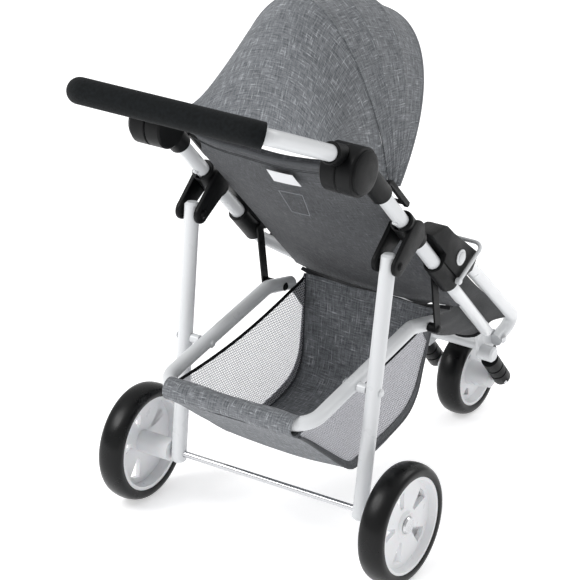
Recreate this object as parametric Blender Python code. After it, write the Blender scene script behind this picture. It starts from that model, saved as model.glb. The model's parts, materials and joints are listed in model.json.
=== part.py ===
"""Doll stroller with three wheels, a hood, a lying seat and a shopping basket.

Metres, +Z up. The child's feet point to -Y, the pusher stands at +Y and the pusher's right is -X.
The origin is on the ground, under the middle of the overall length. A place on the side view is
given as (ahead, up): ahead of the rear axle, and up from the ground.
"""
from math import asin, atan2, cos, pi, radians, sin, sqrt, tan

import bmesh
import bpy
from mathutils import Matrix, Vector

# ---- how finely round things are cut into flats -------------------------------------------
TYRE_STEPS, RIM_STEPS, DISC_STEPS, ROD_STEPS, PIN_STEPS = 32, 24, 20, 16, 8
BOW_STEPS, ARCH_STEPS = 18, 14

# ---- driving dimensions -------------------------------------------------------------------
GAP = 0.0003                # between faces that touch
RUN = 0.0006                # round a shaft or a slide that moves

WHEELBASE = 0.480
REAR_TRACK = 0.377          # between the middles of the rear tyres
REAR_WHEEL_RADIUS = 0.075
FRONT_WHEEL_RADIUS = 0.059
TYRE_WIDTH = 0.034
TYRE_DEPTH = 0.0145
TREAD_HALF = 0.0045         # half width of the flat band that meets the ground
RIM_WALL = 0.0045
WEB_THICKNESS = 0.006
HUB_RADIUS = 0.014
REAR_AXLE_RADIUS = 0.004
FRONT_AXLE_RADIUS = 0.003
WHEEL_WINDOWS = 5

FRAME_WIDTH = 0.281         # between the middles of the two main tubes
TUBE_RADIUS = 0.009
MAIN_HEIGHT = 0.474         # the main tube's axis over the rear axle
MAIN_SLOPE = radians(43.6)
LEG_RADIUS = 0.0095
LEG_TOP = (0.023, 0.384)    # pivot of leg and slider
LEG_TOP_SPREAD = 0.139      # sideways from the middle
LEG_FOOT_SPREAD = 0.1325
LEG_STUB = 0.012            # leg past its end holes
SLIDER_AT = 0.087           # along the main tube
SLIDER_LENGTH = 0.050
SLIDER_RADIUS = 0.0142
KEYWAY_DEPTH = 0.0036       # under the tube, so the slider passes the snap button
KEYWAY_HALF = 0.0042
SNAP_AT = 0.051             # along the main tube
SNAP_RADIUS = 0.0034
SNAP_PROUD = 0.0026
SNAP_SUNK = 0.003
SNAP_STROKE = 0.0024
YOKE_THICKNESS = 0.006
YOKE_ROUND = 0.0125
PIN_RADIUS = 0.0025
HEAD_RADIUS = 0.0055
HEAD_HEIGHT = 0.0022

HINGE = (-0.062, 0.521)     # axis of the tilting handle
HINGE_RADIUS = 0.029
HINGE_FACE = 0.1312         # sideways place of the face between the two hinge halves
HINGE_BASE_WIDTH = 0.0215
HINGE_HUB_WIDTH = 0.0215
HINGE_COVER = 0.0045
HINGE_PIN_RADIUS = 0.004
SLEEVE_RADIUS = 0.0135
SLEEVE_END = -0.003         # along the main tube
TUBE_START = -0.0455        # main tube, inside the sleeve
HANDLE_WIDTH = 0.257        # between the middles of the two arms
HANDLE_RADIUS = 0.010
HANDLE_SLOPE = radians(22)
HANDLE_LIP = (-0.0985, 0.549)
HANDLE_LENGTH = 0.141       # from the socket's lip to the crossbar's middle
HANDLE_BEND = 0.020
SOCKET_DEPTH = 0.0145
GRIP_RADIUS = 0.0155
BEND_STEPS = 6              # of the handle's two bends; the foam ends half-way round each

JOINT_FROM, JOINT_TO = 0.172, 0.226     # collar along the main tube
JOINT_RADIUS = 0.0128
TUBES_MEET = 0.206          # main and lower tube, inside the collar
HOUSING_WIDTH = 0.028
HOUSING_OUTLINE = ((0.119, 0.0135), (0.139, 0.036), (0.146, 0.0395), (0.166, 0.041),
                   (0.234, 0.0515), (0.243, 0.048), (0.245, 0.029), (0.227, 0.006),
                   (0.172, 0.004), (0.168, 0.0125))       # along the main tube, and over it
RAIL_START = (0.218, 0.0353)            # the same, of the upper front tube's end
RAIL_RADIUS = 0.009
RAIL_CORNER = (0.515, 0.137)
RAIL_CORNER_SPREAD = 0.047
RAIL_BEND = 0.013
RAIL_FOOT = (0.472, 0.1225)
RAIL_TAIL = 0.007           # rail past the bolt
LOWER_RADIUS = 0.008
LOWER_END = (0.434, 0.145)
BUTTON_RADIUS = 0.0085
BUTTON_PLACE = (0.203, 0.0265)          # along and over the main tube

BAR_RADIUS = 0.0025         # bumper bar
BAR_PLACE = (0.2186, 0.0022)            # its pivot, along and over the main tube
BAR_REACH = (0.0546, 0.0315)
BAR_SPREAD = 0.1575
BAR_PIN_RADIUS = 0.0015
BAR_BEND = 0.012

BASKET_TUBE_RADIUS = 0.009
BASKET_TUBE_SPREAD = 0.105
BASKET_REAR = (-0.084, 0.203)
BASKET_KNEE = (0.142, 0.257)
BASKET_TIP = (0.196, 0.247)
BASKET_BEND = 0.030
BASKET_PIVOT = (0.170, 0.2518)
LEG_CROSSING = 0.012        # ahead, of the pivot of leg and basket tube
STRAP_THICKNESS = 0.0025
STRAP_AT = 0.212            # along the main tube
STRAP_WIDTH = 0.012
SPACER_RADIUS = 0.006

CROSSBAR = (0.446, 0.117)
CROSSBAR_RADIUS = 0.0075
GUSSET_THICKNESS = 0.005
GUSSET_FACE = 0.0365        # inner face of the gusset
BOSS = (0.442, 0.110)
BOSS_RADIUS = 0.0105
BOSS_OUT = 0.0605
FOOT_SPREAD = 0.0505
FOOT_START = (0.4475, 0.1005)
FOOT_END = (0.4845, 0.0625)
FOOT_RADIUS = 0.0118

HOOD_PLACE = (0.055, 0.0195)            # its pivot, along and over the main tube
HOOD_ARM_HALF = 0.0035      # half height of the arm that carries the pivot
HOOD_ARM_THICKNESS = 0.006
HOOD_HALF_WIDTH = 0.120
HOOD_RADIUS = 0.230
HOOD_SKIN = 0.003
HOOD_STEP = 0.005           # each section nests this far inside the one behind
HOOD_ANGLES = (97, 83, 68, 52)          # rear, fixed, middle and front bow, degrees from ahead
HOOD_OVERLAP = 3            # degrees that a section reaches under the one behind
BOW_RADIUS = 0.0022
BOW_SPACING = 0.006         # between neighbouring bows, so that they fold past each other
BOW_EYE_RADIUS = 0.0065
BOW_EYE_WIDTH = 0.003
HOOD_STUD_RADIUS = 0.0026
HOOD_BACK = (-0.046, 0.528)
HOOD_BACK_HALF = 0.098

BACK_FROM, BACK_TO = -0.052, 0.288      # backrest along the main tube
BACK_THICKNESS = 0.014
BACK_SAG = 0.010
SEAT_THICKNESS = 0.014
SIDE_CLEAR = 0.0035         # fabric to tube
BASKET_WALL = 0.0035
BASKET_TOP_HALF, BASKET_FLOOR_HALF = 0.092, 0.084
BASKET_OUTLINE = ((-0.080, 0.190), (0.048, 0.091), (0.110, 0.104), (0.170, 0.126),
                  (0.192, 0.150), (0.199, 0.232))

# ---- places worked out from them -----------------------------------------------------------
HANDLE_END = (HANDLE_LIP[0] - HANDLE_LENGTH * cos(HANDLE_SLOPE),
              HANDLE_LIP[1] + HANDLE_LENGTH * sin(HANDLE_SLOPE))
FRONT = WHEELBASE + FRONT_WHEEL_RADIUS
BACK = HANDLE_END[0] - GRIP_RADIUS
MIDDLE = (FRONT + BACK) / 2
RIGHT, LEFT = -1, 1
SIDES = ((RIGHT, "right"), (LEFT, "left"))
MAIN_X = FRAME_WIDTH / 2
WHEEL_X = REAR_TRACK / 2


def place(side_point, x=0.0):
    """(ahead, up) and a sideways place as a point."""
    return Vector((x, MIDDLE - side_point[0], side_point[1]))


def on_main(along, over=0.0):
    """(ahead, up) of a point along the main tube's axis, and square over it."""
    return (along * cos(MAIN_SLOPE) + over * sin(MAIN_SLOPE),
            MAIN_HEIGHT - along * sin(MAIN_SLOPE) + over * cos(MAIN_SLOPE))


def between(a, b, share):
    return tuple(p + (q - p) * share for p, q in zip(a, b))


def basket_tube_up(ahead):
    """Height of the straight run of the basket tube."""
    share = (ahead - BASKET_REAR[0]) / (BASKET_KNEE[0] - BASKET_REAR[0])
    return BASKET_REAR[1] + share * (BASKET_KNEE[1] - BASKET_REAR[1])


LEG_PIVOT = (LEG_CROSSING, basket_tube_up(LEG_CROSSING))
REAR_AXLE = (0.0, REAR_WHEEL_RADIUS)
FRONT_AXLE = (WHEELBASE, FRONT_WHEEL_RADIUS)
BAR_PIVOT = on_main(*BAR_PLACE)
HOOD_PIVOT = on_main(*HOOD_PLACE)
BOW_DROPS = tuple(HOOD_STEP * 2 + HOOD_SKIN + BOW_RADIUS + 0.0008 + BOW_SPACING * index
                  for index in range(3))
HOOD_STUD_END = HOOD_HALF_WIDTH - BOW_DROPS[-1] - BOW_EYE_WIDTH
LOWER_END_SPREAD = GUSSET_FACE + GUSSET_THICKNESS + GAP + LOWER_RADIUS
STRAP_FACE = MAIN_X - JOINT_RADIUS - GAP


# ---- materials -----------------------------------------------------------------------------
def linear(value):
    return value / 12.92 if value <= 0.04045 else ((value + 0.055) / 1.055) ** 2.4


def material(name, hex_colour, roughness, metallic=0.0):
    made = bpy.data.materials.new(name)
    made.use_nodes = True
    shader = made.node_tree.nodes["Principled BSDF"]
    colour = [linear(int(hex_colour[i:i + 2], 16) / 255) for i in (0, 2, 4)]
    shader.inputs["Base Color"].default_value = (*colour, 1)
    shader.inputs["Roughness"].default_value = roughness
    shader.inputs["Metallic"].default_value = metallic
    made.diffuse_color = (*colour, 1)
    return made


# ---- shapes --------------------------------------------------------------------------------
def clear_scene():
    for old in list(bpy.data.objects):
        bpy.data.objects.remove(old, do_unlink=True)


def keep(name, work, look, origin=None):
    """A bmesh as a named object whose origin is at `origin`."""
    bmesh.ops.remove_doubles(work, verts=work.verts, dist=1e-6)
    bmesh.ops.recalc_face_normals(work, faces=work.faces)
    mesh = bpy.data.meshes.new(name)
    if origin is not None:
        bmesh.ops.translate(work, verts=work.verts, vec=-Vector(origin))
    work.to_mesh(mesh)
    work.free()
    mesh.materials.append(look)
    mesh.shade_smooth()
    mesh.set_sharp_from_angle(angle=radians(35))
    made = bpy.data.objects.new(name, mesh)
    if origin is not None:
        made.location = origin
    bpy.context.scene.collection.objects.link(made)
    return made


def aimed(start, end):
    """Matrix that takes +Z at the origin to the line from start to end, placed at start."""
    turn = (Vector(end) - Vector(start)).to_track_quat("Z", "Y").to_matrix().to_4x4()
    return Matrix.Translation(Vector(start)) @ turn


def add_turned(work, profile, start, end, steps=ROD_STEPS):
    """Turns (radius, distance from start) points about the line from start to end."""
    points = [work.verts.new((radius, 0, height)) for radius, height in profile]
    closed = points if profile[0][0] > 0 else points[1:-1]
    rim = [work.edges.new((a, b)) for a, b in zip(points, points[1:])]
    if len(closed) == len(points):
        rim.append(work.edges.new((points[-1], points[0])))
    spun = bmesh.ops.spin(work, geom=points + rim, axis=(0, 0, 1), cent=(0, 0, 0), dvec=(0, 0, 0),
                          angle=2 * pi, steps=steps, use_merge=True)
    del spun
    bmesh.ops.transform(work, matrix=aimed(start, end), verts=[v for v in work.verts if not v.tag])
    for vert in work.verts:
        vert.tag = True


def turned(name, profile, start, end, look, steps=ROD_STEPS, origin=None):
    work = bmesh.new()
    add_turned(work, profile, start, end, steps)
    return keep(name, work, look, origin)


def rod_profile(radius, length, chamfer=0.0008):
    return [(0, 0), (radius - chamfer, 0), (radius, chamfer), (radius, length - chamfer),
            (radius - chamfer, length), (0, length)]


def rod(name, start, end, radius, look, steps=ROD_STEPS, origin=None, chamfer=0.0008):
    length = (Vector(end) - Vector(start)).length
    return turned(name, rod_profile(radius, length, chamfer), start, end, look, steps, origin)


def ring(name, start, end, inner, outer, look, steps=ROD_STEPS, origin=None):
    length = (Vector(end) - Vector(start)).length
    profile = [(inner, 0), (outer, 0), (outer, length), (inner, length)]
    return turned(name, profile, start, end, look, steps, origin)


def rounded(points, radius, steps=4):
    """The points joined by straight runs whose corners are arcs of this radius."""
    points = [Vector(p) for p in points]
    path = [points[0]]
    for before, corner, after in zip(points, points[1:], points[2:]):
        back, on = (before - corner).normalized(), (after - corner).normalized()
        half = back.angle(on) / 2
        reach = radius / tan(half)
        centre = corner + (back + on).normalized() * radius / sin(half)
        first, last = corner + back * reach, corner + on * reach
        for step in range(steps + 1):
            spoke = (first - centre).slerp(last - centre, step / steps)
            path.append(centre + spoke.normalized() * radius)
    return path + [points[-1]]


def pipe(name, path, radius, look, sides=2):
    """A solid rod along a path of points. Its section has 4 * (sides + 1) corners."""
    curve = bpy.data.curves.new(name, "CURVE")
    curve.dimensions = "3D"
    curve.bevel_depth = radius
    curve.bevel_resolution = sides
    curve.use_fill_caps = True
    spline = curve.splines.new("POLY")
    spline.points.add(len(path) - 1)
    for point, at in zip(spline.points, path):
        point.co = (*at, 1)
        point.radius = 1
    curve.materials.append(look)
    made = bpy.data.objects.new(name, curve)
    bpy.context.scene.collection.objects.link(made)
    return made


def as_mesh(made):
    """The object as a plain mesh object, with the same name."""
    bpy.context.view_layer.update()
    graph = bpy.context.evaluated_depsgraph_get()
    mesh = bpy.data.meshes.new_from_object(made.evaluated_get(graph))
    name, looks = made.name, list(made.data.materials)
    bpy.data.objects.remove(made, do_unlink=True)
    work = bmesh.new()
    work.from_mesh(mesh)
    return keep(name, work, looks[0])


def plate(name, outline, x_from, x_to, look, bevel=0.0):
    """An outline of (ahead, up) points, as thick as from x_from to x_to."""
    work = bmesh.new()
    face = work.faces.new([work.verts.new(place(p, x_from)) for p in outline])
    grown = bmesh.ops.extrude_face_region(work, geom=[face])
    moved = [g for g in grown["geom"] if isinstance(g, bmesh.types.BMVert)]
    bmesh.ops.translate(work, verts=moved, vec=(x_to - x_from, 0, 0))
    if bevel:
        rims = [e for e in work.edges if abs(e.verts[0].co.x - e.verts[1].co.x) < 1e-7]
        bmesh.ops.bevel(work, geom=rims, offset=bevel, segments=2, profile=0.5, affect="EDGES",
                        material=-1)
    return keep(name, work, look)


def round_ended(start, end, radius, steps=5):
    """Outline of a bar with half-round ends, round two (ahead, up) points."""
    lean = atan2(end[1] - start[1], end[0] - start[0])
    outline = []
    for middle, first in ((end, lean - pi / 2), (start, lean + pi / 2)):
        for step in range(steps + 1):
            turn = first + pi * step / steps
            outline.append((middle[0] + radius * cos(turn), middle[1] + radius * sin(turn)))
    return outline


def tapered(start, end, start_radius, end_radius, steps=5):
    """Outline round two circles of different size, with straight sides that touch both."""
    run = (end[0] - start[0], end[1] - start[1])
    length = sqrt(run[0] ** 2 + run[1] ** 2)
    lean = atan2(run[1], run[0])
    side = pi / 2 + (start_radius - end_radius) / length
    outline = []
    for middle, radius, first, last in ((end, end_radius, lean - side, lean + side),
                                        (start, start_radius, lean + side, lean + 2 * pi - side)):
        for step in range(steps + 1):
            turn = first + (last - first) * step / steps
            outline.append((middle[0] + radius * cos(turn), middle[1] + radius * sin(turn)))
    return outline


def combine(target, other, operation):
    """A Boolean of two objects. A joined piece or a cutter stays as a hidden guide."""
    change = target.modifiers.new(f"{operation.lower()} {other.name}", "BOOLEAN")
    change.operation = operation
    change.object = other
    change.solver = "EXACT"
    other.hide_render = True
    other.display_type = "WIRE"


def cut_round(target, start, end, radius, steps=ROD_STEPS):
    name = f"{target.name}_hole_{len(target.modifiers)}"
    combine(target, rod(name, start, end, radius, target.data.materials[0], steps, chamfer=0.0),
            "DIFFERENCE")


def across(side_point, x_from, x_to):
    """The two ends of a line straight across the stroller."""
    return place(side_point, x_from), place(side_point, x_to)


def pin(name, side_point, inner, outer, side, look, radius=PIN_RADIUS, head=HEAD_RADIUS,
        height=HEAD_HEIGHT):
    """A rivet across the stroller: a shank from inner to outer, with a domed head on each end."""
    length = outer - inner
    profile = [(0, -height), (head * 0.6, -height * 0.85), (head, 0), (radius, 0),
               (radius, length), (head, length), (head * 0.6, length + height * 0.85),
               (0, length + height)]
    return turned(name, profile, *across(side_point, side * inner, side * outer), look, PIN_STEPS,
                  place(side_point, side * inner))


def shoulder_rivet(name, side_point, shoulder_to, outer, side, look):
    """A rivet through the basket tube, whose thick part keeps the next piece away from it."""
    inner = BASKET_TUBE_SPREAD - BASKET_TUBE_RADIUS - 0.0006
    first = BASKET_TUBE_SPREAD + BASKET_TUBE_RADIUS + GAP - inner
    last = shoulder_to - inner
    length = outer - inner
    thin, thick, head, up = PIN_RADIUS, SPACER_RADIUS, HEAD_RADIUS, HEAD_HEIGHT
    profile = [(0, -up), (head * 0.6, -up * 0.85), (head, 0), (thin, 0), (thin, first),
               (thick, first), (thick, last), (thin, last), (thin, length), (head, length),
               (head * 0.6, length + up * 0.85), (0, length + up)]
    return turned(name, profile, *across(side_point, side * inner, side * outer), look, PIN_STEPS,
                  place(side_point, side * inner))


# ---- wheels --------------------------------------------------------------------------------
def wheel(name, middle, radius, hub_in, hub_out, out, axle_radius, looks):
    """A tyre and a rim with windows. `out` is the sideways direction of the wheel's outer face."""
    rubber, plastic = looks
    half = TYRE_WIDTH / 2
    rim = radius - TYRE_DEPTH
    start, end = middle - Vector((out * half, 0, 0)), middle + Vector((out * half, 0, 0))
    swell = 1 / cos(pi / TYRE_STEPS)     # so that the flats touch the ground, not the corners
    crown = [(rim + GAP, 0.0015), (radius - 0.0085, 0.0), (radius - 0.0030, 0.0045),
             (radius, half - TREAD_HALF), (radius, half + TREAD_HALF),
             (radius - 0.0030, TYRE_WIDTH - 0.0045), (radius - 0.0085, TYRE_WIDTH),
             (rim + GAP, TYRE_WIDTH - 0.0015)]
    tyre = turned(f"{name}_tyre", [(r * swell, at) for r, at in crown], start, end, rubber,
                  TYRE_STEPS, middle)
    tyre.data.transform(Matrix.Rotation(pi / TYRE_STEPS, 4, "X"))
    web = half + 0.006
    lip = rim - RIM_WALL
    profile = [(axle_radius + GAP, half - hub_in), (HUB_RADIUS, half - hub_in),
               (HUB_RADIUS, web - WEB_THICKNESS), (lip, web - WEB_THICKNESS), (lip, 0.002),
               (rim, 0.002), (rim, TYRE_WIDTH - 0.002), (lip + 0.001, TYRE_WIDTH - 0.002),
               (lip - 0.002, web), (HUB_RADIUS + 0.003, web), (HUB_RADIUS, half + hub_out),
               (axle_radius + GAP, half + hub_out)]
    body = turned(f"{name}_rim", profile, start, end, plastic, RIM_STEPS, middle)
    inner, outer = HUB_RADIUS + 0.006, lip - 0.005
    for index in range(WHEEL_WINDOWS):
        work = bmesh.new()
        spread = 2 * pi / WHEEL_WINDOWS
        corners = [(inner, -0.16), (inner, 0.16), (outer, 0.30), (outer + 0.001, 0.0),
                   (outer, -0.30)]
        face = work.faces.new([
            work.verts.new((0, r * cos(a + index * spread), r * sin(a + index * spread)))
            for r, a in corners])
        grown = bmesh.ops.extrude_face_region(work, geom=[face])
        moved = [g for g in grown["geom"] if isinstance(g, bmesh.types.BMVert)]
        bmesh.ops.translate(work, verts=moved, vec=(out * TYRE_WIDTH, 0, 0))
        bmesh.ops.translate(work, verts=work.verts, vec=middle)
        combine(body, keep(f"{name}_window_{index}", work, plastic), "DIFFERENCE")


def rear_wheels(looks):
    hub_in = WHEEL_X - LEG_FOOT_SPREAD - LEG_RADIUS - 0.001
    for side, word in SIDES:
        middle = place(REAR_AXLE, side * WHEEL_X)
        wheel(f"rear_{word}", middle, REAR_WHEEL_RADIUS, hub_in, 0.009, side, REAR_AXLE_RADIUS,
              (looks["rubber"], looks["wheel"]))
    reach = WHEEL_X + 0.009 + GAP
    radius = REAR_AXLE_RADIUS
    profile = [(0, -0.0042), (0.0095, -0.0032), (0.0110, -0.001), (0.0102, 0), (radius, 0),
               (radius, 2 * reach), (0.0102, 2 * reach), (0.0110, 2 * reach + 0.001),
               (0.0095, 2 * reach + 0.0032), (0, 2 * reach + 0.0042)]
    turned("rear_axle", profile, *across(REAR_AXLE, -reach, reach), looks["steel"])


def front_wheel(looks):
    hub = FOOT_SPREAD - FOOT_RADIUS - TYRE_WIDTH / 2 - 0.0006 + TYRE_WIDTH / 2
    wheel("front", place(FRONT_AXLE), FRONT_WHEEL_RADIUS, hub, hub, RIGHT, FRONT_AXLE_RADIUS,
          (looks["rubber"], looks["wheel"]))
    reach = FOOT_SPREAD + FOOT_RADIUS - 0.002
    rod("front_axle", *across(FRONT_AXLE, -reach, reach), FRONT_AXLE_RADIUS, looks["steel"],
        chamfer=0.0003)


# ---- frame ---------------------------------------------------------------------------------
def main_tubes(looks):
    for side, word in SIDES:
        x = side * MAIN_X
        tube = rod(f"main_tube_{word}", place(on_main(TUBE_START + GAP), x),
                   place(on_main(TUBES_MEET - GAP), x), TUBE_RADIUS, looks["paint"])
        pocket = SNAP_SUNK + SNAP_STROKE + 2 * GAP
        cut_round(tube, place(on_main(SNAP_AT, pocket - TUBE_RADIUS), x),
                  place(on_main(SNAP_AT, -TUBE_RADIUS - 0.005), x), SNAP_RADIUS + GAP, PIN_STEPS)


def lower_line(side):
    """Start of the lower tube's slanting run, and its end."""
    return (place(on_main(JOINT_TO + 0.016), side * MAIN_X),
            place(LOWER_END, side * LOWER_END_SPREAD))


def lower_tubes(looks):
    """The front tubes that carry the seat, from the side joints to the front gussets."""
    for side, word in SIDES:
        start = place(on_main(TUBES_MEET + GAP), side * MAIN_X)
        path = rounded([start, *lower_line(side)], 0.03, 3)
        pipe(f"lower_tube_{word}", path, LOWER_RADIUS, looks["paint"])


def rail_start(side):
    return place(on_main(*RAIL_START), side * (MAIN_X + 0.0015))


def rails(looks):
    """The upper front tubes, bent back under at their lower ends."""
    for side, word in SIDES:
        corner = place(RAIL_CORNER, side * RAIL_CORNER_SPREAD)
        foot = place(RAIL_FOOT, side * RAIL_CORNER_SPREAD)
        tail = foot + (foot - corner).normalized() * RAIL_TAIL
        path = rounded([rail_start(side), corner, tail], RAIL_BEND, 6)
        body = as_mesh(pipe(f"seat_rail_{word}", path, RAIL_RADIUS, looks["paint"]))
        cut_round(body, *across(RAIL_FOOT, side * 0.03, side * 0.06), PIN_RADIUS + GAP, PIN_STEPS)


def side_joints(looks):
    for side, word in SIDES:
        x = side * MAIN_X
        body = rod(f"side_joint_{word}", place(on_main(JOINT_FROM), x),
                   place(on_main(JOINT_TO), x), JOINT_RADIUS, looks["plastic"])
        half = HOUSING_WIDTH / 2
        block = plate(f"side_joint_block_{word}", [on_main(*p) for p in HOUSING_OUTLINE],
                      x - half, x + half, looks["plastic"], 0.0022)
        combine(body, block, "UNION")
        wide, narrow = TUBE_RADIUS + GAP, LOWER_RADIUS + GAP
        step, through = TUBES_MEET - JOINT_FROM + 0.08, JOINT_TO - JOINT_FROM + 0.10
        bore = turned(f"side_joint_bore_{word}",
                      [(0, 0), (wide, 0), (wide, step), (narrow, step), (narrow, through),
                       (0, through)], place(on_main(JOINT_FROM - 0.08), x),
                      place(on_main(JOINT_TO), x), looks["plastic"])
        combine(body, bore, "DIFFERENCE")
        start = rail_start(side)
        along = (place(RAIL_CORNER, side * RAIL_CORNER_SPREAD) - start).normalized()
        cut_round(body, start - along * 0.0005, start + along * 0.05, RAIL_RADIUS + GAP)
        cut_round(body, *across(BAR_PIVOT, x, x + side * 0.02), BAR_PIN_RADIUS + GAP, PIN_STEPS)
        face = MAIN_X + half + GAP
        r = BUTTON_RADIUS
        profile = [(0, 0), (r + 0.0015, 0), (r + 0.0015, 0.001), (r, 0.0016), (r - 0.0012, 0.0016),
                   (r - 0.0014, 0.0026), (r - 0.0030, 0.0036), (0, 0.0038)]
        turned(f"joint_button_{word}", profile,
               *across(on_main(*BUTTON_PLACE), side * face, side * (face + 0.02)),
               looks["paint"])


def hinge_bases(looks):
    """The fixed half of each handle hinge: a disc with a journal, and a sleeve on the tube."""
    for side, word in SIDES:
        x = side * MAIN_X
        outer = HINGE_FACE + HINGE_BASE_WIDTH
        face = HINGE_FACE + GAP
        r = HINGE_RADIUS
        stub = HINGE_HUB_WIDTH - 0.004
        width = outer - face
        profile = [(0, -stub), (HINGE_PIN_RADIUS, -stub), (HINGE_PIN_RADIUS, 0), (r - 0.001, 0),
                   (r, 0.001), (r, width - 0.002), (r - 0.002, width), (r - 0.003, width),
                   (r - 0.0038, width + HINGE_COVER * 0.6), (r - 0.009, width + HINGE_COVER),
                   (0, width + HINGE_COVER)]
        body = turned(f"hinge_base_{word}", profile,
                      *across(HINGE, side * face, side * (face + 0.02)), looks["plastic"], DISC_STEPS)
        sleeve = rod(f"hinge_sleeve_{word}", place(on_main(-0.074), x),
                     place(on_main(SLEEVE_END), x), SLEEVE_RADIUS, looks["plastic"],
                     chamfer=0.0015)
        clear = ring(f"hinge_clear_{word}",
                     *across(HINGE, side * (HINGE_FACE - 0.04), side * face),
                     HINGE_PIN_RADIUS, HINGE_RADIUS + 0.0025, looks["plastic"], DISC_STEPS)
        combine(sleeve, clear, "DIFFERENCE")
        combine(body, sleeve, "UNION")
        cut_round(body, place(on_main(TUBE_START), x), place(on_main(SLEEVE_END + 0.02), x),
                  TUBE_RADIUS + GAP)


def hood_mounts(looks):
    """An arm along the top of each main tube, clear of the slider, with the hood's pivot."""
    along, over = HOOD_PLACE
    for side, word in SIDES:
        half = HOOD_ARM_HALF
        start = SLEEVE_END + GAP
        clamp_to = start + 0.004
        outline = [on_main(start, TUBE_RADIUS + GAP), on_main(clamp_to, TUBE_RADIUS + GAP),
                   on_main(clamp_to + 0.002, over - half), on_main(along + half, over - half),
                   on_main(along + half + 0.002, over), on_main(along + half, over + half),
                   on_main(start + 0.006, over + half), on_main(start, over - 0.001)]
        inner = side * (MAIN_X - HOOD_ARM_THICKNESS / 2)
        outer = side * (MAIN_X + HOOD_ARM_THICKNESS / 2)
        body = plate(f"hood_mount_{word}", outline, inner, outer, looks["plastic"], 0.001)
        stud = rod(f"hood_stud_{word}", *across(HOOD_PIVOT, side * HOOD_STUD_END, outer),
                   HOOD_STUD_RADIUS, looks["plastic"], PIN_STEPS, chamfer=0.0005)
        combine(body, stud, "UNION")


def snap_buttons(looks):
    """Sprung buttons under the main tubes that hold the leg sliders down."""
    for side, word in SIDES:
        x = side * MAIN_X
        inner = place(on_main(SNAP_AT, SNAP_SUNK - TUBE_RADIUS), x)
        outer = place(on_main(SNAP_AT, -TUBE_RADIUS - SNAP_PROUD), x)
        long, r = SNAP_SUNK + SNAP_PROUD, SNAP_RADIUS
        turned(f"snap_button_{word}",
               [(0, 0), (r, 0), (r, long - 0.0012), (r - 0.0009, long - 0.0003), (0, long)],
               inner, outer, looks["paint"], PIN_STEPS, inner)


# ---- rear legs and their sliders -----------------------------------------------------------
def leg_line(side):
    top = place(LEG_TOP, side * LEG_TOP_SPREAD)
    foot = place(REAR_AXLE, side * LEG_FOOT_SPREAD)
    return top, foot, (foot - top).normalized()


def leg_x(up):
    share = (up - REAR_AXLE[1]) / (LEG_TOP[1] - REAR_AXLE[1])
    return LEG_FOOT_SPREAD + share * (LEG_TOP_SPREAD - LEG_FOOT_SPREAD)


def legs(looks):
    for side, word in SIDES:
        top, foot, down = leg_line(side)
        body = rod(f"rear_leg_{word}", top - down * LEG_STUB, foot + down * LEG_STUB, LEG_RADIUS,
                   looks["paint"], ROD_STEPS, place(LEG_PIVOT), 0.003)
        cut_round(body, *across(REAR_AXLE, side * 0.10, side * 0.16), REAR_AXLE_RADIUS + GAP)
        cut_round(body, *across(LEG_PIVOT, side * 0.10, side * 0.16), PIN_RADIUS + GAP, PIN_STEPS)
        cut_round(body, *across(LEG_TOP, side * 0.10, side * 0.18), PIN_RADIUS + GAP, PIN_STEPS)
        leg = leg_x(LEG_PIVOT[1])
        shoulder_rivet(f"leg_rivet_{word}", LEG_PIVOT, leg - LEG_RADIUS - GAP,
                       leg + LEG_RADIUS + 0.0006, side, looks["steel"])


def leg_sliders(looks):
    """A sleeve that slides on the main tube, with a yoke round the top of the leg."""
    cheek = LEG_RADIUS + 0.001
    for side, word in SIDES:
        x = side * MAIN_X
        half = SLIDER_LENGTH / 2
        body = rod(f"leg_slider_{word}", place(on_main(SLIDER_AT - half), x),
                   place(on_main(SLIDER_AT + half), x), SLIDER_RADIUS, looks["plastic"],
                   chamfer=0.0015)
        outline = tapered(on_main(SLIDER_AT - 0.002, -0.004), LEG_TOP, 0.0175, YOKE_ROUND)
        for inner, outer, tag in ((cheek, cheek + YOKE_THICKNESS, "out"),
                                  (-cheek - YOKE_THICKNESS, -cheek, "in")):
            ends = [side * (LEG_TOP_SPREAD + inner), side * (LEG_TOP_SPREAD + outer)]
            yoke = plate(f"leg_slider_{tag}_{word}", outline, *ends, looks["plastic"], 0.0015)
            combine(body, yoke, "UNION")
        bore = rod(f"leg_slider_bore_{word}", place(on_main(SLIDER_AT - 0.05), x),
                   place(on_main(SLIDER_AT + 0.05), x), TUBE_RADIUS + RUN, looks["plastic"], ROD_STEPS,
                   chamfer=0.0)
        low = -TUBE_RADIUS - KEYWAY_DEPTH
        corners = [on_main(SLIDER_AT - 0.06, low), on_main(SLIDER_AT + 0.06, low),
                   on_main(SLIDER_AT + 0.06, 0.0), on_main(SLIDER_AT - 0.06, 0.0)]
        groove = plate(f"leg_slider_groove_{word}", corners, x - KEYWAY_HALF, x + KEYWAY_HALF,
                       looks["plastic"])
        combine(bore, groove, "UNION")
        combine(body, bore, "DIFFERENCE")
        cut_round(body, *across(LEG_TOP, side * 0.10, side * 0.18), PIN_RADIUS + GAP, PIN_STEPS)
        reach = cheek + YOKE_THICKNESS + 0.0006
        pin(f"slider_pin_{word}", LEG_TOP, LEG_TOP_SPREAD - reach, LEG_TOP_SPREAD + reach, side,
            looks["steel"])


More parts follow.
